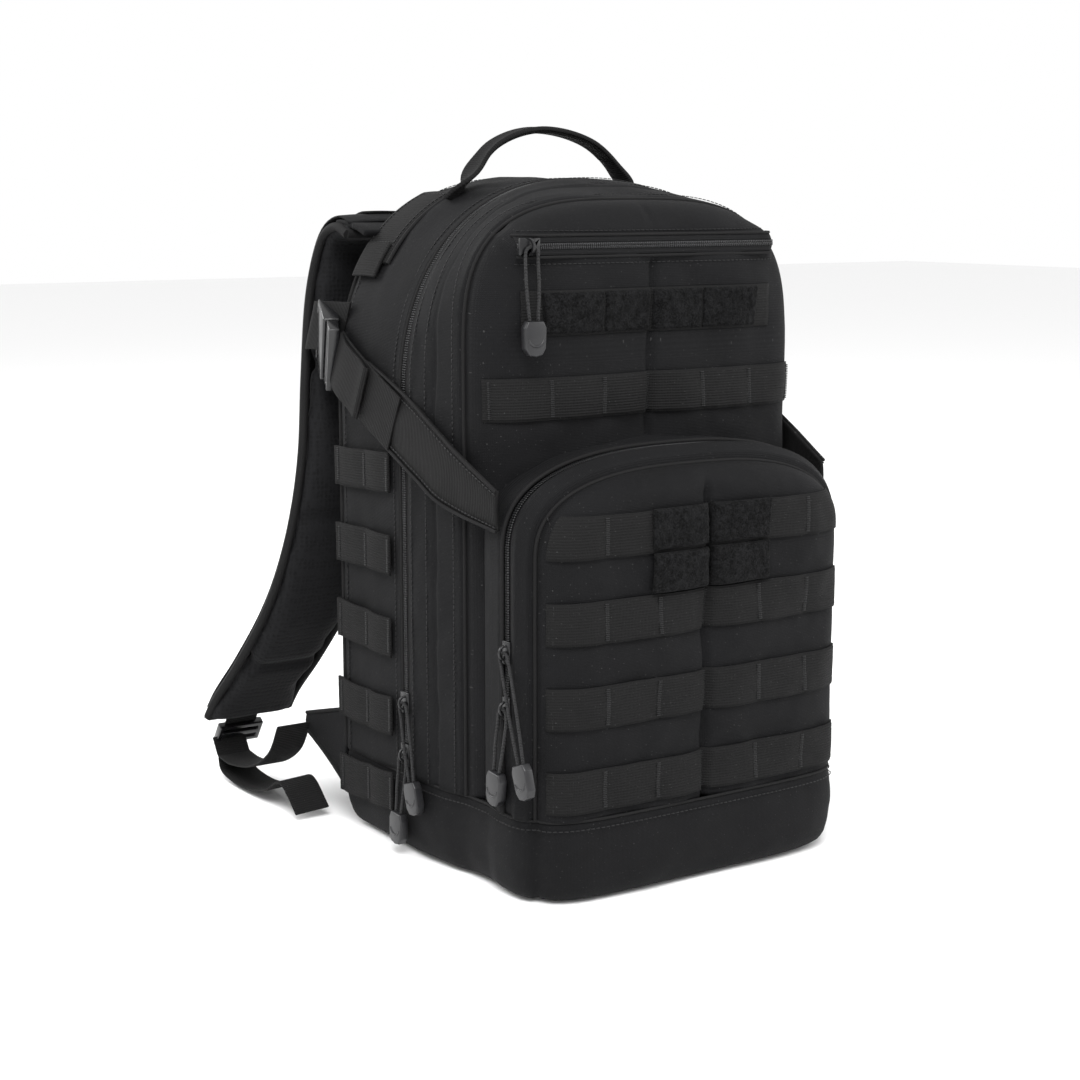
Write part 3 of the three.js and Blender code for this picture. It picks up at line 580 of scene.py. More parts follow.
tube("rear_binding", seam_line(REAR_CROWN, REAR - 0.001, 0.0004), 0.0019, "binding", "pack_body")
stitches("rear_gusset_stitching", [
    (seam_line(MIDDLE_CROWN, REAR - 0.0115, 0.0004), outward_of),
    (seam_line(ZIP_CROWN, ZIP_REAR + 0.0035, 0.0004), outward_of),
], "pack_body")
print("rear shell", len(rear_shell.data.polygons), "faces")


# %% [markdown]
# A face panel is a grid as wide as its arch at each height. Its depth is a pillow: steep near the seam and
# almost flat in the middle. The rows of the grid follow the crown by angle, so they stay even near the top.
# %% Face panels
def half_at(size, z):
    half, top, drop, power = size
    rise = (z - top + drop) / drop
    return half if rise <= 0 else half * max(1 - min(rise, 1) ** power, 0) ** (1 / power)


def edge_share(size, x, z):
    """0 in the middle of a face and 1 at its seam"""
    half, top, drop, power = size
    rise = max((z - top + drop) / drop, 0)
    return (abs(x / half) ** power + rise ** power) ** (1 / power)


def face_bm(size, base, across, up, depth, inside):
    half, top, drop, power = size
    straight = top - drop - base
    turned = drop * 1.25
    split = straight / (straight + turned)

    def place(u, v):
        if v < split:
            wide, z = half, base + straight * v / split
        else:
            turn = math.radians(88.5) * (v - split) / (1 - split)
            wide = half * math.cos(turn) ** (2 / power)
            z = top - drop + drop * math.sin(turn) ** (2 / power)
        x = (2 * u - 1) * wide
        return Vector((x, depth(x, z), z))
    bm = panel(across, up, place, (2 * half, straight + drop))
    return face_out(bm, inside)


def back_depth(x, z):
    fall = edge_share(REAR_CROWN, x, z)
    return REAR + 0.0012 * (1 - fall ** 8) + creases((x, 0, z), 0.05, 0.0008, 4.0)


back_panel = piece_from("back_cloth", face_bm(REAR_CROWN, SEAM, 60, 90, back_depth, (0, 0, 0.2)),
                        "pack_cloth", "pack_body", ("back_panel",), WALL)
print("back panel", len(back_panel.data.polygons), "faces")


# %% [markdown]
# The boot is a shallow tub of the same cloth, doubled for wear. Its corners are round where it meets the
# ground and it swells slightly above them. One grid makes it: the first rows are the floor and the rest
# are the wall.
# %% Boot
def boot_plan():
    """half of the tub's plan from the middle of the back to the middle of the front, then its mirror"""
    corner = 0.007
    half = [(0, REAR)]
    for step in range(7):
        turn = math.radians(90 - 15 * step)
        half.append((HALF - corner + corner * math.cos(turn), REAR - corner + corner * math.sin(turn)))
    half += [(HALF, ZIP), (HALF - 0.004, -0.026), (HALF - 0.009, FRONT_SEAM), (POCKET_HALF - 0.0025, FACE)]
    half += [(POCKET_HALF, FACE - 0.012), (POCKET_HALF + 0.0004, POCKET_ZIP), (POCKET_HALF, FLAP_EDGE)]
    half += [(POCKET_HALF - 0.0035, BORDER_SEAM + 0.0012)]
    for share in (1, 0.985, 0.96, 0.92, 0.86, 0.78, 0.65, 0.45, 0.2):
        half.append((share * BORDER_HALF, BORDER_SEAM + PILLOW * math.sqrt(1 - share ** 6)))
    half.append((0, POCKET_FACE))
    return half + [(-x, y) for x, y in reversed(half[1:-1])]


BOOT_WALK = even(boot_plan(), closed=True)
BOOT_MIDDLE = Vector((0, (REAR + POCKET_FACE) / 2))
BOOT_SIDE = even([(0.014, 0.0), (0.0085, 0.0008), (0.0045, 0.0032), (0.0018, 0.0080), (0.0002, 0.0150),
                  (-0.0010, 0.028), (-0.0006, 0.040), (0.0008, SEAM)])
FLOOR_SHARE = 0.35


def boot_place(u, v):
    edge = BOOT_WALK(u)
    if v < FLOOR_SHARE:
        inset, z, share = 0.014, 0.0, v / FLOOR_SHARE
    else:
        (inset, z), share = BOOT_SIDE((v - FLOOR_SHARE) / (1 - FLOOR_SHARE)), 1.0
    spread = Vector((1 - inset / HALF, 1 - inset / (REAR - BOOT_MIDDLE.y)))
    out = edge - BOOT_MIDDLE
    flat = BOOT_MIDDLE + Vector((out.x * spread.x, out.y * spread.y)) * share
    point = Vector((flat.x, flat.y, z))
    lively = min(z / 0.01, 1) * min(max(SEAM - z, 0) / 0.008, 1)
    away = Vector((flat.x, flat.y - BOOT_MIDDLE.y, 0)).normalized()
    return point + away * lively * (creases(point, 0.04, 0.0022, 2.0) + creases(point, 0.014, 0.0006, 5.0))


boot_bm = panel(220, 34, boot_place, (BOOT_WALK.length, 0.1))
bmesh.ops.remove_doubles(boot_bm, verts=boot_bm.verts, dist=0.00003)
boot = piece_from("boot_cloth", face_out(boot_bm, (*BOOT_MIDDLE, 0.03)), "pack_cloth", "pack_body",
                  ("boot",), WALL)


def boot_line(z, lift, start=0.0, end=1.0, steps=200):
    line = []
    for index in range(steps + 1):
        edge = BOOT_WALK(start + (end - start) * index / steps)
        away = (edge - BOOT_MIDDLE).normalized()
        line.append(Vector((*(edge + away * lift), z)))
    return line


tube("boot_binding", boot_line(SEAM - 0.0002, -0.0004), 0.0009, "binding", "pack_body")
stitches("boot_stitching", [
    (boot_line(SEAM - 0.0052, 0.0014), lambda at: (at.x, at.y - BOOT_MIDDLE.y, 0)),
], "pack_body")
print("boot", len(boot.data.polygons), "faces")


# %% [markdown]
# The front half has its own band, from the zip forward to a piped seam, and a face that fills out between
# the seam's two sides. A seam down the middle pinches the face, so it reads as two soft panels. The ridge
# near the top is the straight welt that the upper pocket's zip is set in.
# %% Front shell
front_gusset = piece_from("front_gusset", gusset_bm(
    [(0, FRONT_ZIP_CROWN, ZIP_FRONT + 0.003), (0.08, (HALF + 0.0006, TOP, 0.136, 2.3), ZIP_FRONT - 0.003),
     (0.42, (HALF - 0.0025, TOP - 0.004, 0.122, 2.6), -0.014),
     (0.47, (HALF - 0.0040, TOP - 0.0062, 0.118, 2.7), -0.017),
     (0.53, (HALF - 0.0028, TOP - 0.0058, 0.115, 2.75), -0.020),
     (0.94, (HALF - 0.0062, TOP - 0.0105, 0.097, 3.1), FRONT_SEAM + 0.003),
     (1, (HALF - 0.0098, TOP - 0.0145, 0.094, 3.2), FRONT_SEAM - 0.0005)],
    240, 40, ZIP_FRONT - FRONT_SEAM, 0.0026, 7.1), "pack_cloth", "front_half", ("front_shell",), WALL)

ADMIN_FACE = low("admin_panel")[1]
ADMIN_REACH = 0.101
FACE_DEPTH = 0.0245


def front_depth(x, z):
    share = min(edge_share(FRONT_CROWN, x, z), 1)
    y = FRONT_SEAM - FACE_DEPTH * math.sqrt(max(1 - share ** 8, 0))
    inside = 1 - share ** 12
    seam_zone = bell(max(z - ADMIN_ZIP + 0.012, 0), 0.006)
    y += inside * seam_zone * (0.0034 * bell(x, 0.0028) + 0.0016 * bell(x, 0.014))
    y += inside * (0.0016 * bell(abs(x) - 0.05, 0.03) * -1 + creases((x, 0.2, z), 0.04, 0.0034, 9.0)
                   + creases((x, 0.2, z), 0.015, 0.0010, 3.0))
    welt = bell(z - ADMIN_ZIP, 0.0085) * min(max((ADMIN_REACH - abs(x)) / 0.008, 0), 1)
    y += (ADMIN_FACE + 0.0005 - y) * welt
    crown_pinch = bell(x, 0.003) * bell(z - (TOP - 0.016), 0.01)
    return max(y + inside * 0.0022 * crown_pinch, -0.0712)


front_face = piece_from("front_face", face_bm(FRONT_CROWN, SEAM, 150, 150, front_depth, (0, 0, 0.2)),
                        "pack_cloth", "front_half", ("admin_panel",), WALL)
tube("front_piping", seam_line(FRONT_CROWN, FRONT_SEAM - 0.0004, 0.0003), 0.0013, "binding",
                    "front_half")


def front_arch(lift, y, scale=1.0):
    return [Vector((p.x * scale, y, p.z)) for p in seam_line(FRONT_CROWN, y, lift)]


stitches("front_gusset_stitching", [
    (front_arch(0.0035, FRONT_SEAM + 0.0075), outward_of),
    (seam_line((HALF - 0.0015, TOP - 0.0030, 0.124, 2.55), -0.0095, 0.0004), outward_of),
    (seam_line((HALF + 0.0006, TOP, 0.136, 2.3), ZIP_FRONT - 0.004, 0.0006), outward_of),
], "front_half")
print("front shell", len(front_gusset.data.polygons) + len(front_face.data.polygons), "faces")


# %% [markdown]
# A zip is two woven tapes with a coil of small teeth on each. Each tape stays with its own half of the
# pack, so the coil parts when the pack opens. Teeth are repeated hundreds of times, so each has six faces.
# %% Main and pocket zips
TOOTH_PITCH = 0.0015
TOOTH = Vector((0.0009, 0.0019, 0.0014))


def tape_bm(size, base, y0, y1, inset):
    walk = crown(size[0] - inset, size[1] - inset, size[2], size[3], base)
    bm = panel(200, 4, lambda u, v: Vector((walk(u).x, y0 + (y1 - y0) * v, walk(u).y)),
               (walk.length, abs(y1 - y0)))
    return face_out(bm, (0, y0, 0.2))


def zip_side(name, size, base, middle, edge, body, node):
    piece_from(name + "_tape", tape_bm(size, base, middle, edge, 0.0013), "zip_tape", body, (node,), 0.0008)
    bm = bmesh.new()
    offset = math.copysign(0.0009, edge - middle)
    walk = crown(size[0] - 0.0009, size[1] - 0.0009, size[2], size[3], base)
    line = [Vector((walk(i / 160).x, middle + offset, walk(i / 160).y)) for i in range(161)]
    top = size[1] - size[2]
    beads(bm, line, lambda at: (at.x, 0, max(at.z - top, 0) * 0.95), TOOTH_PITCH, TOOTH, turned=False)
    return piece_from(name + "_coil", bm, "slider", body, (), 0)


zip_side("main_zip_rear", ZIP_CROWN, SEAM, ZIP, ZIP_REAR + 0.002, "pack_body", "main_zip_rear_tape")
zip_side("main_zip_front", ZIP_CROWN, SEAM, ZIP, ZIP_FRONT - 0.001, "front_half", "main_zip_front_tape")
POCKET_CROWN = (POCKET_HALF, POCKET_TOP, 0.058, 2.6)
BORDER_CROWN = (BORDER_HALF, POCKET_TOP - 0.0105, 0.052, 2.7)
zip_side("pocket_zip_rear", POCKET_CROWN, FOLD, POCKET_ZIP, GUSSET_EDGE + 0.002, "front_half",
         "pocket_zip_rear_tape")
zip_side("pocket_zip_front", POCKET_CROWN, FOLD, POCKET_ZIP, FLAP_EDGE - 0.002, "pocket_front",
         "pocket_zip_front_tape")
tube("rear_zip_lip", seam_line(ZIP_CROWN, ZIP_REAR - 0.0032, -0.0008), 0.0013, "binding", "pack_body")
tube("front_zip_lip", seam_line(FRONT_ZIP_CROWN, ZIP_FRONT + 0.0030, -0.0006), 0.0013, "binding",
                 "front_half")
print("zips done")

# %% [markdown]
# The pocket is a band round three sides, a zip, a narrow border and a full face. Below the fold the border
# and face are sewn down and above it they open with the flap; here both stay where they are made, on neither
# half.
# %% Pocket
FOLD_START = (0, POCKET_FACE, FOLD - 0.004)
FOLD_END = (0, POCKET_FACE, FOLD + 0.004)
OVER_FOLD = ("front_half", "pocket_front", FOLD_START, FOLD_END)
piece_from("pocket_band", gusset_bm(
    [(0, (POCKET_HALF - 0.004, POCKET_TOP + 0.003, 0.060, 2.6), FACE + 0.006),
     (0.3, (POCKET_HALF - 0.001, POCKET_TOP, 0.058, 2.6), FACE - 0.007),
     (0.85, (POCKET_HALF + 0.0006, POCKET_TOP + 0.0006, 0.058, 2.6), GUSSET_EDGE + 0.001),
     (1, POCKET_CROWN, GUSSET_EDGE - 0.003)],
    190, 22, FACE - GUSSET_EDGE, 0.0016, 12.0), "pack_cloth", "front_half",
    ("pocket_gusset", "pocket_base"), WALL)
tube("pocket_zip_lip", seam_line(POCKET_CROWN, GUSSET_EDGE - 0.0034, 0.0002), 0.0014, "binding",
                  "front_half")


def side_filler(side):
    def place(u, v):
        z = SEAM + (FOLD + 0.003 - SEAM) * v
        y = GUSSET_EDGE + (FLAP_EDGE - GUSSET_EDGE) * u
        return Vector((side * (POCKET_HALF - 0.0007), y, z))
    return panel(8, 20, place, (GUSSET_EDGE - FLAP_EDGE, FOLD - SEAM))


filler = bmesh.new()
for side in (-1, 1):
    half_bm = face_out(side_filler(side), (0, POCKET_ZIP, SEAM))
    half_mesh = bpy.data.meshes.new("filler")
    half_bm.to_mesh(half_mesh)
    half_bm.free()
    filler.from_mesh(half_mesh)
    bpy.data.meshes.remove(half_mesh)
piece_from("pocket_low_sides", filler, "pack_cloth", "front_half", (), WALL)

piece_from("pocket_border", gusset_bm(
    [(0, POCKET_CROWN, FLAP_EDGE + 0.002), (0.25, (POCKET_HALF + 0.0008, POCKET_TOP + 0.0006, 0.058, 2.6),
     FLAP_EDGE - 0.002), (0.75, (POCKET_HALF - 0.0035, POCKET_TOP - 0.0045, 0.055, 2.65), BORDER_SEAM + 0.0012),
     (1, (POCKET_HALF - 0.0093, POCKET_TOP - 0.0113, 0.052, 2.7), BORDER_SEAM)],
    190, 18, 0.018, 0.0016, 15.0), "pack_cloth", OVER_FOLD, (), WALL)
ROW_NODES = ["pocket_webbing_row_%d" % number for number in (1, 2, 3, 4)]
ROW_Z = [low(node)[2] for node in ROW_NODES]


def pocket_depth(x, z):
    share = min(edge_share(BORDER_CROWN, x, z), 1)
    inside = 1 - share ** 10
    y = BORDER_SEAM + (PILLOW + 0.0006) * math.sqrt(max(1 - share ** 6, 0))
    top_zone = min(max((BORDER_CROWN[1] - 0.006 - z) / 0.01, 0), 1)
    y += inside * top_zone * (0.0040 * bell(x, 0.0026) + 0.0018 * bell(x, 0.013))
    swell = sum(bell(z - row - WEB / 2 - 0.0254, 0.011) for row in ROW_Z)
    y -= inside * 0.0010 * swell * (1 - bell(x, 0.008))
    y += inside * (creases((x, 0.5, z), 0.04, 0.0030, 21.0) + creases((x, 0.5, z), 0.014, 0.0010, 25.0))
    return max(y, POCKET_FACE - 0.0028)


pocket_face = piece_from("pocket_face", face_bm(BORDER_CROWN, SEAM, 150, 130, pocket_depth, (0, -0.06, 0.2)),
                         "pack_cloth", OVER_FOLD, ("pocket_flap",), WALL)
tube("pocket_piping", seam_line(BORDER_CROWN, BORDER_SEAM - 0.0004, 0.0003), 0.0013, "binding",
                     OVER_FOLD)
print("pocket", len(pocket_face.data.polygons), "faces on its face")


# %% [markdown]
# Webbing rows are sewn down every 38.1 mm, so each length between two bars stands off the cloth a little.
# The rows follow the face they are sewn to. A bar is a short dense zigzag, made as a stack of thread beads.
# %% Webbing rows
def row_piece(name, depth, size, z0, body, replaced, end_gap=0.002, seam_x=0.0):
    def half(z):
        return half_at(size, z) - end_gap

    def place(u, v):
        z = z0 + WEB * v
        x = (2 * u - 1) * half(z)
        loop = abs(math.sin(math.pi * (x - seam_x) / SPACING))
        edge = 0.0005 * math.sin(math.pi * v)
        return Vector((x, depth(x, z) - 0.0012 - 0.0012 * loop ** 0.7 - edge, z))
    bm = face_out(panel(140, 10, place, (2 * half(z0), WEB)), (0, 0.1, z0))
    piece = piece_from(name, bm, "webbing", body, replaced, 0.0013)
    bars = bmesh.new()
    count = int(half(z0) / SPACING)
    for number in range(-count, count + 1):
        x = seam_x + number * SPACING
        line = [Vector((x, depth(x, z0 + WEB * t) - 0.0018, z0 + WEB * t)) for t in (0.06, 0.35, 0.65, 0.94)]
        beads(bars, line, (0, -1, 0), 0.0011, Vector((0.0007, 0.0026, 0.0006)), turned=False)
    ends = half(z0 + WEB / 2) - 0.003
    for x in (-ends, ends):
        line = [Vector((x, depth(x, z0 + WEB * t) - 0.0018, z0 + WEB * t)) for t in (0.03, 0.5, 0.97)]
        beads(bars, line, (0, -1, 0))
    return piece, piece_from(name + "_bars", bars, "thread", body, (), 0)


for number, (node, z0) in enumerate(zip(ROW_NODES, ROW_Z)):
    row_piece("row_%d" % (number + 1), pocket_depth, BORDER_CROWN, z0,
              "front_half" if number == 0 else "pocket_front", (node,))
UPPER_ROW = low("upper_webbing_row")[2]
row_piece("upper_row", front_depth, FRONT_CROWN, UPPER_ROW, "front_half", ("upper_webbing_row",), 0.004)


# %% [markdown]
# Loop tape is sewn on flat: a woven backing with a dense pile. The pile here is a slightly rough surface
# standing two millimetres off, cut into cells by the stitching that crosses it.
# %% Loop tape
def pile_cell(name, depth, x0, x1, z0, z1, body, replaced=(), stand=0.0022, lift=0.0):
    rim = 0.0016

    def place(u, v):
        x, z = x0 + (x1 - x0) * u, z0 + (z1 - z0) * v
        near = min(x - x0, x1 - x, z - z0, z1 - z)
        raised = stand * min(near / rim, 1) ** 0.5 if near > 0 else 0
        tuft = creases((x, 0.9, z), 0.0018, 0.0007, 2.0) * min(near / rim, 1)
        return Vector((x, depth(x, z) - 0.0006 - lift - raised - tuft, z))
    bm = face_out(panel(int((x1 - x0) / 0.0009), int((z1 - z0) / 0.0009), place, (x1 - x0, z1 - z0)),
                  (0, 0.1, z0))
    return piece_from(name, bm, "loop_pile", body, replaced, 0.0006)


ID_BASE = low("id_loop_strip")[2]
ID_TOP = high("id_loop_strip")[2]
ID_HALF = high("id_loop_strip")[0]
cuts = [-ID_HALF, -SPACING, 0.0, SPACING, ID_HALF]
for number, (x0, x1) in enumerate(zip(cuts, cuts[1:])):
    pile_cell("id_pile_%d" % (number + 1), front_depth, x0 + 0.0004, x1 - 0.0004, ID_BASE, ID_TOP, "front_half",
              ("id_loop_strip",) if number == 0 else ())


def flat_backing(name, depth, x0, x1, z0, z1, body, lift=0.0):
    bm = face_out(panel(60, 12, lambda u, v: Vector((
        x0 + (x1 - x0) * u, depth(x0 + (x1 - x0) * u, z0 + (z1 - z0) * v) - 0.0010 - lift,
        z0 + (z1 - z0) * v)), (x1 - x0, z1 - z0)), (0, 0.1, z0))
    return piece_from(name, bm, "webbing", body, (), 0.0011)


flat_backing("id_backing", front_depth, -ID_HALF - 0.013, ID_HALF + 0.012, ID_BASE - 0.0008, ID_TOP + 0.0008,
             "front_half")
PATCH_BASE = low("loop_patch")[2]
PATCH_TOP = high("loop_patch")[2]
PATCH_HALF = high("loop_patch")[0]
PATCH_MIDDLE = (PATCH_BASE + PATCH_TOP) / 2


def patch_depth(x, z):
    return pocket_depth(x, z) - 0.0010


patch_cells = [(x0, z0) for x0 in (-PATCH_HALF, 0.0010) for z0 in (PATCH_BASE, PATCH_MIDDLE + 0.0009)]
for number, (x0, z0) in enumerate(patch_cells):
    pile_cell("patch_pile_%d" % (number + 1), patch_depth, x0, x0 + PATCH_HALF - 0.0010, z0,
              z0 + PATCH_MIDDLE - PATCH_BASE - 0.0009, "pocket_front", ("loop_patch",) if number == 0 else (),
              0.0022, 0.0014)
print("rows and loop tape done")


# %% [markdown]
# Five short rows run up each side behind the zip, each sewn at both ends and once between. They ride on the
# rear half and stand off it slightly between their bars, as the front rows do.
# %% Side rows
def merged(parts):
    """several small shapes as one"""
    whole = bmesh.new()
    for part in parts:
        mesh = bpy.data.meshes.new("part")
        part.to_mesh(mesh)
        part.free()
        whole.from_mesh(mesh)
        bpy.data.meshes.remove(mesh)
    return whole


SIDES = (("left", -1), ("right", 1))
SIDE_BASE = low("side_webbing_left")[2]
SIDE_TOP = high("side_webbing_left")[2]
SIDE_COUNT = 5
SIDE_PITCH = (SIDE_TOP - SIDE_BASE - WEB) / (SIDE_COUNT - 1)
SIDE_FRONT = low("side_webbing_left")[1]
SIDE_REAR = high("side_webbing_left")[1]
SIDE_STAND = HALF + 0.0030
SIDE_BARS = (SIDE_FRONT + 0.002, SIDE_FRONT + 0.031, SIDE_REAR - 0.004)


def side_row(side, z0):
    def place(u, v):
        y = SIDE_FRONT + (SIDE_REAR - SIDE_FRONT) * u
        nearest = min(abs(y - bar) for bar in SIDE_BARS)
        loop = min(nearest / 0.012, 1) ** 0.6
        z = z0 + WEB * v + 0.0012 * math.sin(40 * y + z0 * 30)
        return Vector((side * (SIDE_STAND + 0.0022 * loop - 0.0006 * (1 - v) * loop), y, z))
    return face_out(panel(28, 8, place, (SIDE_REAR - SIDE_FRONT, WEB)), (0, 0.05, z0))


for word, side in SIDES:
    rows = [SIDE_BASE + SIDE_PITCH * number for number in range(SIDE_COUNT)]
    piece_from("side_rows_" + word, merged([side_row(side, z0) for z0 in rows]), "webbing", "pack_body",
               ("side_webbing_" + word,), 0.0014)
    bars = bmesh.new()
    for z0 in rows:
        for y in SIDE_BARS:
            line = [Vector((side * (SIDE_STAND + 0.0006), y, z0 + 0.002)),
                    Vector((side * (SIDE_STAND + 0.0006), y, z0 + WEB - 0.002))]
            beads(bars, line, (side, 0, 0), 0.0012, Vector((0.0008, 0.0024, 0.0006)))
    piece_from("side_bars_" + word, bars, "thread", "pack_body", (), 0)
print("side rows", SIDE_COUNT, "pitch", round(SIDE_PITCH, 4))


# %% [markdown]
# A doubled band of heavy webbing lies over each rear shoulder. It anchors the carry handle at its upper end
# and the shoulder strap behind it, and it ends in a turned-back tab.
# %% Yokes
YOKE_FRONT = low("yoke_patch_left")[1]
YOKE_REAR = high("yoke_patch_left")[1]
YOKE_CROWN = (HALF + 0.0022, TOP + 0.0017, 0.138, 2.4)


def share_where(walk, x):
    return min((abs(walk(i / 800).x - x), i / 800) for i in range(401))[1]


YOKE_WALK = arch(YOKE_CROWN)
YOKE_FROM = share_where(YOKE_WALK, low("yoke_patch_left")[0] + 0.006)
YOKE_TO = share_where(YOKE_WALK, high("yoke_patch_left")[0] + 0.006)


def on_yoke(side, share, y, lift=0.0010):
    at = YOKE_WALK(share)
    away = Vector((at.x, max(at.y - TOP + 0.138, 0) * 0.95)).normalized()
    out = at + away * lift
    return Vector((-side * out.x, y, out.y))


def crown_strip(side, start, end, y0, y1, lift):
    def place(u, v):
        swell = 0.0008 * math.sin(math.pi * u)
        return on_yoke(side, start + (end - start) * v, y0 + (y1 - y0) * u, lift + swell)
    return face_out(panel(14, 40, place, (y1 - y0, (end - start) * YOKE_WALK.length)), (0, 0.08, 0.25))


for word, side in SIDES:
    piece_from("yoke_" + word, merged([
        crown_strip(side, YOKE_FROM, YOKE_TO, YOKE_FRONT, YOKE_REAR, 0.0004),
        crown_strip(side, YOKE_FROM - 0.012, YOKE_FROM + 0.014, YOKE_FRONT + 0.004, YOKE_REAR - 0.004,
                    0.0024),
    ]), "webbing", "pack_body", ("yoke_patch_" + word,), 0.0018)
    rows = []
    for y in (YOKE_FRONT + 0.0035, YOKE_REAR - 0.0035):
        rows.append(([on_yoke(side, YOKE_FROM + 0.015 + (YOKE_TO - YOKE_FROM - 0.018) * i / 30, y)
                      for i in range(31)], outward_of))
    for share in (YOKE_FROM + 0.016, YOKE_TO - 0.004):
        rows.append(([on_yoke(side, share, YOKE_FRONT + 0.004), on_yoke(side, share, YOKE_REAR - 0.004)],
                     outward_of))
    stitches("yoke_stitching_" + word, rows, "pack_body")
    edge = [YOKE_FROM + (YOKE_TO - YOKE_FROM) * i / 30 for i in range(31)]
    tube("yoke_edge_" + word, [on_yoke(side, share, YOKE_FRONT - 0.0012, -0.0006) for share in edge], 0.0014,
         "binding", "pack_body")
print("yokes done")

# %% [markdown]
# The compression strap starts as a broad wing sewn into the front seam. It crosses the zip on a slant, and
# its webbing is threaded through a side-squeeze buckle whose other half is sewn to the back corner.
# %% Compression straps
WING_REAR = high("wing_left")[1] + 0.006
WING_FRONT = FACE - 0.020
WING_UPPER = even(smooth_run([(WING_REAR, 0.314), (0.0, 0.2925), (-0.040, 0.2710), (WING_FRONT, 0.2475)]))
WING_LOWER = even(smooth_run([(WING_REAR, 0.272), (0.0, 0.2480), (-0.035, 0.2330), (WING_FRONT, 0.2240)]))


def side_reach(y):
    """how far out the cloth's side lies at a distance along the pack"""
    forward = min(max((ZIP_FRONT - y) / (ZIP_FRONT - WING_FRONT), 0), 1)
    return HALF + 0.0024 - 0.0068 * forward ** 1.6


def wing_place(side, lift=0.0):
    def place(u, v):
        lower, upper = WING_LOWER(v), WING_UPPER(v)
        flat = lower.lerp(upper, u)
        dip = 0.0012 * math.sin(math.pi * u) + creases((0, flat.x, flat.y), 0.03, 0.0012, 31.0)
        return Vector((side * (side_reach(flat.x) + lift + dip), flat.x, flat.y))
    return place


STRAP_SLOPE = math.radians(26)
STRAP_WIDTH = 0.038
for word, side in SIDES:
    body = "clip_" + word
    piece_from("wing_cloth_" + word, face_out(panel(14, 60, wing_place(side), (0.045, 0.15)), (0, 0, 0.27)),
               "webbing", "front_half", ("wing_" + word,), 0.0018)
    place = wing_place(side, 0.0009)
    tubes("wing_edges_" + word, [[place(u, i / 40) for i in range(41)] for u in (0, 1)], 0.0011, "binding",
          "front_half")
    rows = [([place(u, i / 40) for i in range(41)], (side, 0, 0)) for u in (0.09, 0.91)]
    stitches("wing_stitching_" + word, rows, "front_half")
    plug_low, plug_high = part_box("buckle_plug_" + word)
    start = Vector(((plug_low[0] + plug_high[0]) / 2, plug_low[1] + 0.012,
                    (plug_low[2] + plug_high[2]) / 2 - 0.003))
    ahead = Vector((0, -math.cos(STRAP_SLOPE), -math.sin(STRAP_SLOPE)))
    over = Vector((0, -math.sin(STRAP_SLOPE), math.cos(STRAP_SLOPE)))
    lain = side * (HALF + 0.0052)
    under = [start, Vector((start.x * 0.3 + lain * 0.7, *(start + ahead * 0.012).yz)),
             Vector((lain, *(start + ahead * 0.03).yz)), Vector((lain, *(start + ahead * 0.06).yz)),
             Vector((side * (HALF + 0.0042), *(start + ahead * 0.084).yz))]
    ribbon("strap_run_" + word, smooth_run(under), STRAP_WIDTH, lambda v, over=over: over, "webbing", body,
           0.0015, ("compression_strap_" + word,))
    tail = [start + Vector((side * 0.0022, -0.002, 0)),
            Vector((lain + side * 0.0028, *(start + ahead * 0.016).yz)),
            Vector((lain + side * 0.0030, *(start + ahead * 0.036).yz)),
            Vector((lain + side * 0.0044, *(start + ahead * 0.045).yz)),
            Vector((lain + side * 0.0030, *(start + ahead * 0.0475).yz))]
    ribbon("strap_tail_" + word, smooth_run(tail), STRAP_WIDTH - 0.001, lambda v, over=over: over,
           "webbing", body, 0.0015)
    refined("plug_" + word, "buckle_plug_" + word, "buckle", body, 0.0011)
    refined("socket_" + word, "buckle_socket_" + word, "buckle", "pack_body", 0.0016)
    sock_low, sock_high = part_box("buckle_socket_" + word)
    root = Vector((side * (HALF - 0.0025), sock_high[1] - 0.009, sock_high[2] - 0.018))
    sewn = [Vector((side * (HALF - 0.002), REAR - 0.008, root.z + 0.001)),
            root + Vector((side * 0.004, 0.002, 0)),
            Vector(((sock_low[0] + sock_high[0]) / 2 + side * 0.001, sock_high[1] - 0.006, root.z - 0.001))]
    ribbon("socket_web_" + word, smooth_run(sewn), STRAP_WIDTH - 0.002, lambda v, over=over: over, "webbing",
           "pack_body", 0.0015)
print("compression straps done")


# %% [markdown]
# Each zip has a slider with a thin cord through its bridge. The cord's two ends are moulded into a soft
# grip with a crescent ridge for the thumb. The slider rides on the zip, and cord and grip ride together on the
# pull.
# %% Zip pulls
CORD_DIAMETER = 0.0022
LOOP_HALF = 0.0044
GRIP_OUT = 0.0022
HANG_OUT = 0.0021 + 0.0016      # from the tape's face to the cord through the bridge


def cord_route(at, turn, lean, drop):
    def leg(side):
        return [Vector((side * (LOOP_HALF - 0.0014), -GRIP_OUT, -drop)),
                Vector((side * LOOP_HALF, -GRIP_OUT / 2, -drop * 0.55)),
                Vector((side * LOOP_HALF, 0, -LOOP_HALF * 2))]
    over = [Vector((LOOP_HALF * math.cos(math.pi * i / 10), 0, LOOP_HALF * (math.sin(math.pi * i / 10) - 1)))
            for i in range(11)]
    local = smooth_run([*leg(1), *over, *reversed(leg(-1))], 6)
    frame3 = (Matrix.Translation(at) @ Matrix.Rotation(turn, 4, "Z") @ Matrix.Translation((0, -HANG_OUT, 0))
              @ Matrix.Rotation(lean, 4, "Y"))
    return [frame3 @ point for point in local], frame3


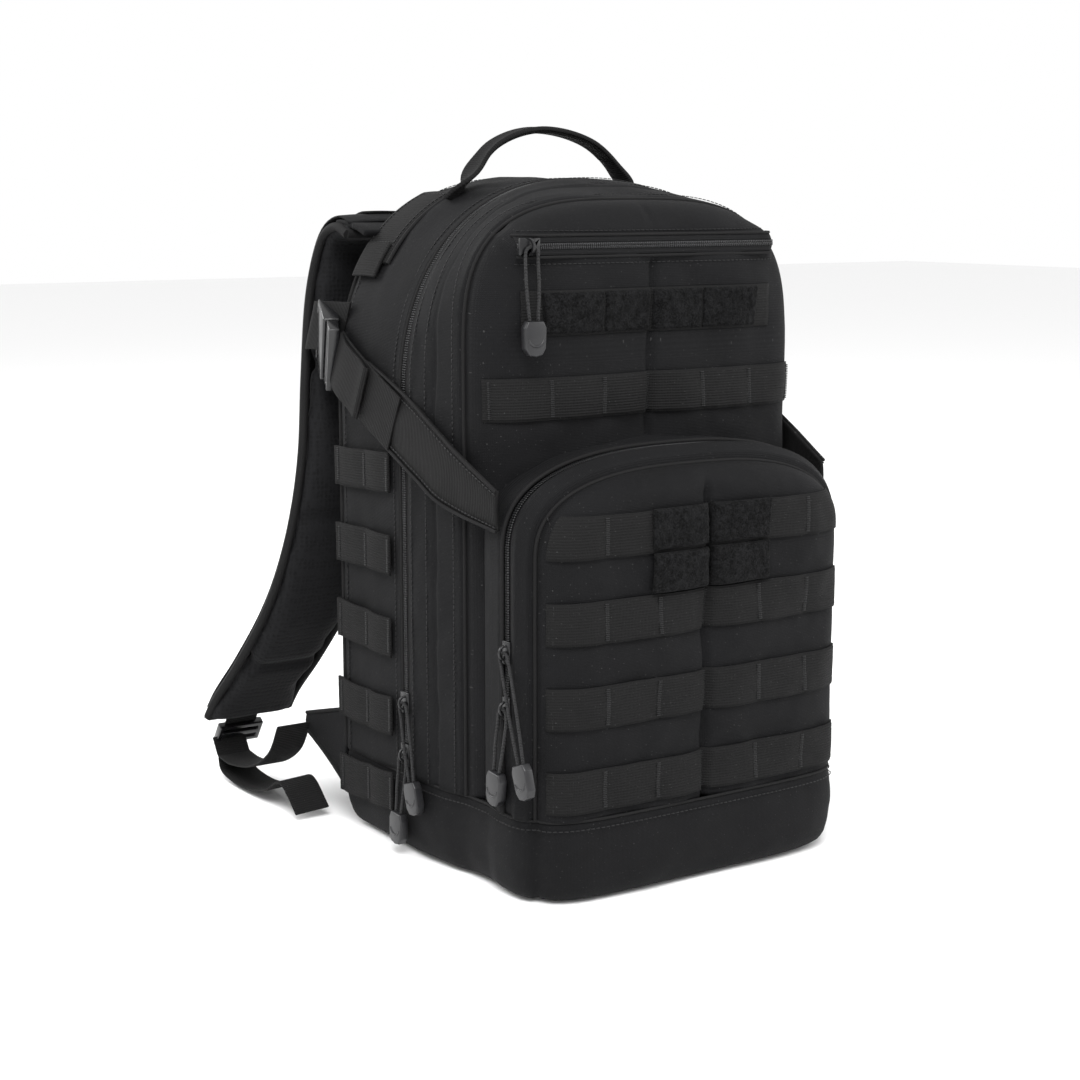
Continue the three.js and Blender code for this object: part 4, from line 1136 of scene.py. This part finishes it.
def ridge_line(frame3, drop):
    middle = Vector((0, -GRIP_OUT - 0.0030, -drop - 0.0095))
    arc = [middle + Vector((0.0056 * math.cos(t), 0.0004 * abs(math.cos(t)), 0.0056 * math.sin(t)))
           for t in (math.radians(195 + 15 * i) for i in range(11))]
    return [frame3 @ point for point in arc]


PULLS = [
    ("main_upper", (-HALF + 0.001, ZIP), -90, -17, 0.050),
    ("main_lower", (-HALF + 0.001, ZIP), -90, 3, 0.038),
    ("pocket_upper", (-POCKET_HALF + 0.001, POCKET_ZIP), -90, -20, 0.066),
    ("pocket_lower", (-POCKET_HALF + 0.001, POCKET_ZIP), -90, 5, 0.039),
    ("admin", ((low("admin_slider")[0] + high("admin_slider")[0]) / 2, ADMIN_FACE), 0, 0, 0.043),
]
for name, place, turn, lean, drop in PULLS:
    z = (low(name + "_slider")[2] + high(name + "_slider")[2]) / 2
    route, frame3 = cord_route((*place, z), math.radians(turn), math.radians(lean), drop)
    refined(name + "_zip_slider", name + "_slider", "slider", name + "_zip", 0.0005, 2)
    cord = tube(name + "_cord", route, CORD_DIAMETER / 2, "pull_cord", name + "_pull", (name + "_pull_cord",))
    grip = refined(name + "_grip", name + "_pull_grip", "pull_grip", name + "_pull", 0.0012)
    ridge = tube(name + "_grip_ridge", ridge_line(frame3, drop), 0.0008, "pull_grip", name + "_pull")
    length = even(route).length
    tuple(route[0])
    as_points(route)
    print(name, "cord", round(length, 4))


# %% [markdown]
# The upper pocket's zip lies straight across its welt: two tapes, a coil between them and a row of topstitch
# below. The coil is drawn closed along its whole length.
# %% Upper pocket zip
ZIP_REACH = 0.0970


def zip_depth(x, z, lift):
    """flat behind the slider's run, and down on the cloth at both ends"""
    onto = min(max((abs(x) - 0.088) / 0.010, 0), 1)
    onto = onto * onto * (3 - 2 * onto)
    return (ADMIN_FACE * (1 - onto) + (front_depth(x, z) - 0.0006) * onto) - lift


def admin_tape(z0, z1):
    def place(u, v):
        x, z = (2 * u - 1) * ZIP_REACH, z0 + (z1 - z0) * v
        return Vector((x, zip_depth(x, z, 0.0004 * v - 0.0002), z))
    return face_out(panel(80, 3, place, (2 * ZIP_REACH, abs(z1 - z0))), (0, 0, 0.3))


def along_zip(lift):
    return [Vector((x * ZIP_REACH, zip_depth(x * ZIP_REACH, ADMIN_ZIP + lift, 0.0001), ADMIN_ZIP + lift))
            for x in (i / 40 - 1 for i in range(81))]


piece_from("admin_tapes", merged([admin_tape(ADMIN_ZIP - 0.0058, ADMIN_ZIP - 0.0008),
                                  admin_tape(ADMIN_ZIP + 0.0008, ADMIN_ZIP + 0.0058)]), "zip_tape", "front_half",
           (), 0.0006)
coil = bmesh.new()
for lift in (-0.0008, 0.0008):
    beads(coil, along_zip(lift), (0, -1, 0), TOOTH_PITCH, TOOTH)
piece_from("admin_coil", coil, "slider", "front_half", (), 0)
tubes("admin_welts", [along_zip(0.0064), along_zip(-0.0064)], 0.0010, "binding", "front_half")


def across_face(z, reach, depth=front_depth, lift=0.0003):
    return [Vector((x * reach, depth(x * reach, z) - lift, z)) for x in (i / 60 - 1 for i in range(121))]


stitches("front_face_stitching", [
    (across_face(ADMIN_ZIP - 0.0105, 0.098), (0, -1, 0)),
    (across_face(ADMIN_ZIP + 0.0088, 0.094), (0, -1, 0)),
], "front_half")
print("upper pocket zip done")

# %% [markdown]
# The carry handle is one length of webbing. Its ends lie flat where they are sewn, and its middle is folded
# double for the hand, so it is narrower and thicker there.
# %% Carry handle
HANDLE_Y = (low("carry_handle")[1] + high("carry_handle")[1]) / 2
HANDLE_TOP = high("carry_handle")[2]


def crown_top(x):
    half, top, drop, power = REAR_CROWN
    return top - drop + drop * (1 - (abs(x) / half) ** power) ** (1 / power)


handle_line = smooth_run([Vector((x, HANDLE_Y + back, z)) for x, back, z in (
    (-0.067, 0.002, crown_top(0.067) + 0.003), (-0.058, 0, crown_top(0.058) + 0.012),
    (-0.036, 0, HANDLE_TOP - 0.012), (-0.002, 0, HANDLE_TOP - 0.0026), (0.038, 0, HANDLE_TOP - 0.011),
    (0.066, 0, crown_top(0.066) + 0.016), (0.079, 0.002, crown_top(0.079) + 0.003))])


def handle_across(share):
    """across the pack at the sewn ends, along it in the hand"""
    middle = 1 - abs(2 * share - 1)
    turned = min(middle / 0.32, 1)
    turned = turned * turned * (3 - 2 * turned)
    return Vector((0.55 * (1 - turned), 0.35 * (1 - turned) + turned, 0))


def handle_width(share):
    middle = min(max((1 - abs(2 * share - 1) - 0.12) / 0.3, 0), 1)
    return 0.0254 - 0.0095 * middle * middle * (3 - 2 * middle)


ribbon("handle_webbing", handle_line, handle_width, handle_across, "webbing",
                ("pack_body", "carry_handle", (0, HANDLE_Y, 0.418), (0, HANDLE_Y, 0.440)), 0.0030,
                ("carry_handle",), 0.0014)
grip_line = [p + Vector((0, 0, -0.0022)) for p in handle_line[len(handle_line) // 4: -len(handle_line) // 4]]
ribbon("handle_fold", grip_line, 0.0125, lambda v: (0, 1, 0), "webbing", "carry_handle", 0.0022)
print("handle", round(even(handle_line).length, 3), "long")


# %% [markdown]
# Foam pads are swollen by a short cloth simulation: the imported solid, a little smaller, is remeshed finely
# and blown up from inside until its cover is tight. A cap on the travel keeps it in its own space. Sewn
# channels are pressed in afterwards, because the remesh would lose them.
# %% Padded pieces
SIM_FRAMES = 20


def swollen(name, node, finish, body, shrink, voxel, cap, grooves=(), pressure=4.0):
    bm = bmesh.new()
    bm.from_mesh(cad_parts[node].data)
    bmesh.ops.remove_doubles(bm, verts=bm.verts, dist=0.00002)
    bm.normal_update()
    for vert in bm.verts:
        vert.co -= vert.normal * shrink
    mesh = bpy.data.meshes.new(name)
    bm.to_mesh(mesh)
    bm.free()
    piece = bpy.data.objects.new(name, mesh)
    scene.collection.objects.link(piece)
    remesh = piece.modifiers.new("even", "REMESH")
    remesh.mode = "VOXEL"
    remesh.voxel_size = voxel
    fine = bpy.data.meshes.new_from_object(piece.evaluated_get(bpy.context.evaluated_depsgraph_get()))
    piece.modifiers.clear()
    piece.data = fine
    rest = [vert.co.copy() for vert in fine.vertices]
    cloth = piece.modifiers.new("cloth", "CLOTH")
    cloth.settings.use_pressure = True
    cloth.settings.uniform_pressure_force = pressure
    cloth.settings.effector_weights.gravity = 0
    cloth.collision_settings.use_collision = False
    cloth.point_cache.frame_end = SIM_FRAMES
    for number in range(1, SIM_FRAMES + 1):
        scene.frame_set(number)
    done = bpy.data.meshes.new_from_object(piece.evaluated_get(bpy.context.evaluated_depsgraph_get()))
    piece.modifiers.clear()
    for before, vert in zip(rest, done.vertices):
        travel = vert.co - before
        vert.co = before + travel * min(1, cap / max(travel.length, 1e-9))
    piece.data = done
    scene.frame_set(1)
    smooth = bmesh.new()
    smooth.from_mesh(piece.data)
    for _ in range(2):
        bmesh.ops.smooth_vert(smooth, verts=smooth.verts, factor=0.4, use_axis_x=True, use_axis_y=True,
                              use_axis_z=True)
    smooth.normal_update()
    for vert in smooth.verts:
        press = sum(depth * bell((vert.co - Vector(at)).dot(Vector(along).normalized()), width)
                    for at, along, width, depth in grooves)
        fold = creases(vert.co, 0.035, 0.0012, 41.0)
        vert.co += vert.normal * (fold - press)
    final = bpy.data.meshes.new(name)
    smooth.to_mesh(final)
    smooth.free()
    bpy.data.objects.remove(piece)
    pad = finish_piece(name, final, finish, body, (node,))
    rounding = pad.modifiers.new("rounding", "SUBSURF")
    rounding.levels = 1
    rounding.render_levels = 1
    return pad


for word in ("left", "right"):
    box_low, box_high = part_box("back_pad_" + word)
    lines = [((0, 0, box_low[2] + (box_high[2] - box_low[2]) * share), (0, 0, 1), 0.0045, 0.0030)
             for share in (0.34, 0.67)]
    pad = swollen("back_pad_cover_" + word, "back_pad_" + word, "mesh_pad", "pack_body", 0.0016, 0.0045,
                  0.004, lines)
lumbar = swollen("lumbar_cover", "lumbar_pad", "mesh_pad", "pack_body", 0.0016, 0.0045, 0.004,
                 [((0, 0, 0), (1, 0, 0), 0.0045, 0.0028)])
print("back pads", len(lumbar.data.vertices), "points on the lowest")

# %% [markdown]
# A shoulder strap is a long curved pad with spacer mesh towards the wearer, cloth outside and a bound edge.
# Its line leaves the yoke, arches out over the shoulder and comes down to the adjuster.
# %% Shoulder straps
STRAP_TOP = TOP - 0.036
STRAP_X = HALF - 0.046
SPLAY = 0.156
STRAP_PAD = 0.066
PAD_LINE = [(0.0085, STRAP_TOP), (0.028, STRAP_TOP + 0.005), (0.046, STRAP_TOP - 0.006),
            (0.053, STRAP_TOP - 0.042), (0.046, STRAP_TOP - 0.094), (0.037, STRAP_TOP - 0.144),
            (0.038, 0.205), (0.048, 0.165), (0.066, 0.130), (0.096, 0.092), (0.122, 0.064), (0.134, 0.046)]
PAD_RUN = even(smooth_run([(REAR + y, z) for y, z in PAD_LINE]))


def on_strap(side, share, across, out):
    """a point of the strap: across its width, and out from its middle line on the side away from the pack"""
    at = PAD_RUN(share)
    ahead = (PAD_RUN(min(share + 0.01, 1)) - PAD_RUN(max(share - 0.01, 0))).normalized()
    at = at + Vector((-ahead.y, ahead.x)) * out
    x = STRAP_X + across + SPLAY * (STRAP_TOP - at.y)
    return Vector((side * x, at.x, at.y))


def strap_panel(side, wide, out, start, end, swell):
    def place(u, v):
        share = start + (end - start) * v
        return on_strap(side, share, (u - 0.5) * wide, out + swell * (1 - (2 * u - 1) ** 2))
    return face_out(panel(14, 110, place, (wide, (end - start) * PAD_RUN.length)), (side * STRAP_X, 0.0, 0.2))


HALF_PAD = STRAP_PAD / 2
for word, side in SIDES:
    body = "strap_" + word
    cross = [(on_strap(side, share, 0, 0), PAD_RUN(share + 0.01) - PAD_RUN(share - 0.01), 0.0045, 0.0032)
             for share in (0.30, 0.55, 0.84)]
    cross = [(at, (0, ahead.x, ahead.y), width, depth) for at, ahead, width, depth in cross]
    pad = swollen("strap_pad_" + word, "shoulder_strap_pad_" + word, "mesh_pad", body, 0.0015, 0.0048,
                  0.004, cross)
    edges = [[on_strap(side, 0.004 + 0.99 * i / 90, across, 0.0) for i in range(91)]
             for across in (-HALF_PAD + 0.0012, HALF_PAD - 0.0012)]
    edges += [[on_strap(side, share, across / 30 * HALF_PAD, 0.0) for across in range(-29, 30)]
              for share in (0.006, 0.992)]
    tubes("strap_binding_" + word, edges, 0.0032, "binding", body)
    outer = 0.0072
    piece_from("strap_cover_" + word, strap_panel(side, STRAP_PAD - 0.003, outer, 0.01, 0.985, 0.0012),
               "pack_cloth", body, (), 0.0012)
    piece_from("strap_daisy_" + word, strap_panel(side, 0.0254, outer + 0.0028, 0.04, 0.97, 0.0003),
               "webbing", body, (), 0.0014)
    bars = bmesh.new()
    for number in range(9):
        share = 0.08 + 0.105 * number
        line = [on_strap(side, share, across, outer + 0.0034) for across in (-0.011, 0.011)]
        at = PAD_RUN(share + 0.01) - PAD_RUN(share - 0.01)
        beads(bars, line, (0, -at.y, at.x), 0.0012, Vector((0.0008, 0.0026, 0.0006)))
    piece_from("strap_bars_" + word, bars, "thread", body, (), 0)
    root = [Vector((side * (STRAP_X - 0.002), REAR - 0.006, STRAP_TOP + 0.0010)),
            Vector((side * (STRAP_X - 0.001), REAR + 0.003, STRAP_TOP + 0.0045)),
            Vector((side * STRAP_X, REAR + 0.020, STRAP_TOP + 0.0075)),
            Vector((side * STRAP_X, REAR + 0.030, STRAP_TOP + 0.0075))]
    ribbon("strap_root_" + word, smooth_run(root), STRAP_PAD - 0.006, lambda v: (1, 0, 0), "pack_cloth",
           ("pack_body", body, (0, REAR, STRAP_TOP), (0, REAR + 0.014, STRAP_TOP)), 0.004)
print("shoulder straps", round(PAD_RUN.length, 3), "long")

# %% [markdown]
# Below the pad a ladder lock grips the adjuster webbing. One run goes back to a cloth wing at the pack's low
# corner, and the free tail hangs in a loose curve. The wing is a folded triangle with bound edges.
# %% Adjusters
ANCHOR_RUN = [(0.041, 0.060), (0.056, 0.038), (0.084, 0.022), (0.118, 0.015), (0.140, 0.016)]
FREE_TAIL = [(0.139, 0.016), (0.136, 0.008), (0.122, 0.004), (0.095, 0.0036), (0.064, 0.010), (0.046, 0.020),
             (0.034, 0.019), (0.016, 0.005)]
WEB_X = (low("adjuster_webbing_left")[0] + high("adjuster_webbing_left")[0]) / 2
lock_low, lock_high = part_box("ladder_lock_left")
LOCK = (Vector(lock_low) + Vector(lock_high)) / 2
for word, side in SIDES:
    body = "strap_" + word
    x = -side * WEB_X

    def route(points, x=x):
        return smooth_run([Vector((x, REAR + y, z)) for y, z in points])
    anchored = route(ANCHOR_RUN)
    around = smooth_run([anchored[-1], Vector((x, LOCK.y - 0.001, LOCK.z - 0.009)),
                         Vector((x, LOCK.y + 0.003, LOCK.z - 0.003))], 6)
    ribbon("adjuster_run_" + word, [*anchored, *around[1:]], WEB, lambda v: (1, 0, 0), "webbing",
           ("pack_body", body, (0, REAR + 0.045, 0.05), (0, REAR + 0.125, 0.02)), 0.0014,
           ("adjuster_webbing_" + word,))
    ribbon("adjuster_tail_" + word, route(FREE_TAIL), WEB, lambda v: (1, 0, 0.06), "webbing", body, 0.0014)
    refined("lock_" + word, "ladder_lock_" + word, "buckle", body, 0.0009)
    holder = [Vector((-side * LOCK.x, LOCK.y - 0.012, LOCK.z + 0.020)),
              Vector((-side * LOCK.x, LOCK.y - 0.004, LOCK.z + 0.008)),
              Vector((-side * LOCK.x, LOCK.y + 0.0015, LOCK.z + 0.0015))]
    ribbon("lock_web_" + word, smooth_run(holder), WEB - 0.001, lambda v: (1, 0, 0), "webbing", body, 0.0016)
    tab = (Vector((0, REAR - 0.002, 0.022)), Vector((0, REAR + 0.045, 0.060)),
           Vector((0, REAR - 0.002, 0.078)))
    tab_x = side * (HALF - 0.0012)

    def tab_place(u, v):
        lower = tab[0].lerp(tab[1] + Vector((0, 0, -0.006)), v)
        upper = tab[2].lerp(tab[1] + Vector((0, 0, 0.006)), v)
        at = lower.lerp(upper, u)
        return Vector((tab_x + side * (0.001 * math.sin(math.pi * u) + 0.006 * v * v), at.y, at.z))
    piece_from("anchor_cloth_" + word, face_out(panel(12, 20, tab_place, (0.055, 0.047)), (0, 0.1, 0.05)),
               "pack_cloth", "pack_body", ("lower_anchor_" + word,), 0.0024)
    tubes("anchor_edges_" + word, [[tab_place(u, i / 16) for i in range(17)] for u in (0, 1)], 0.0014,
          "binding", "pack_body")
print("adjusters done")

# %% [markdown]
# Inside, a stiff sheet keeps the back flat and a lining sleeve lies over it, open at the top with an elastic
# hem. Both only show when the pack is opened.
# %% Inside
sheet_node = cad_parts["frame_sheet"]
sheet_node.data.materials.clear()
sheet_node.data.materials.append(FINISHES["frame_sheet"])
sleeve_low, sleeve_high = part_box("inner_sleeve")
sleeve_size = (sleeve_high[0] - sleeve_low[0], sleeve_high[2] - sleeve_low[2])


def sleeve_place(u, v):
    x = sleeve_low[0] + sleeve_size[0] * u
    z = sleeve_low[2] + sleeve_size[1] * v
    sag = 0.0014 * math.sin(math.pi * u) * v + creases((x, 0, z), 0.05, 0.0006, 51.0)
    return Vector((x, sleeve_low[1] - 0.0004 - sag, z))


sleeve = piece_from("sleeve_lining", face_out(panel(60, 80, sleeve_place, sleeve_size), (0, 0.3, 0.2)),
                    "lining",
                    "pack_body", ("inner_sleeve",), 0.0006)
hem = tube("sleeve_hem", [sleeve_place(i / 30, 1) for i in range(31)], 0.0018, "binding", "pack_body")
print("inside done")
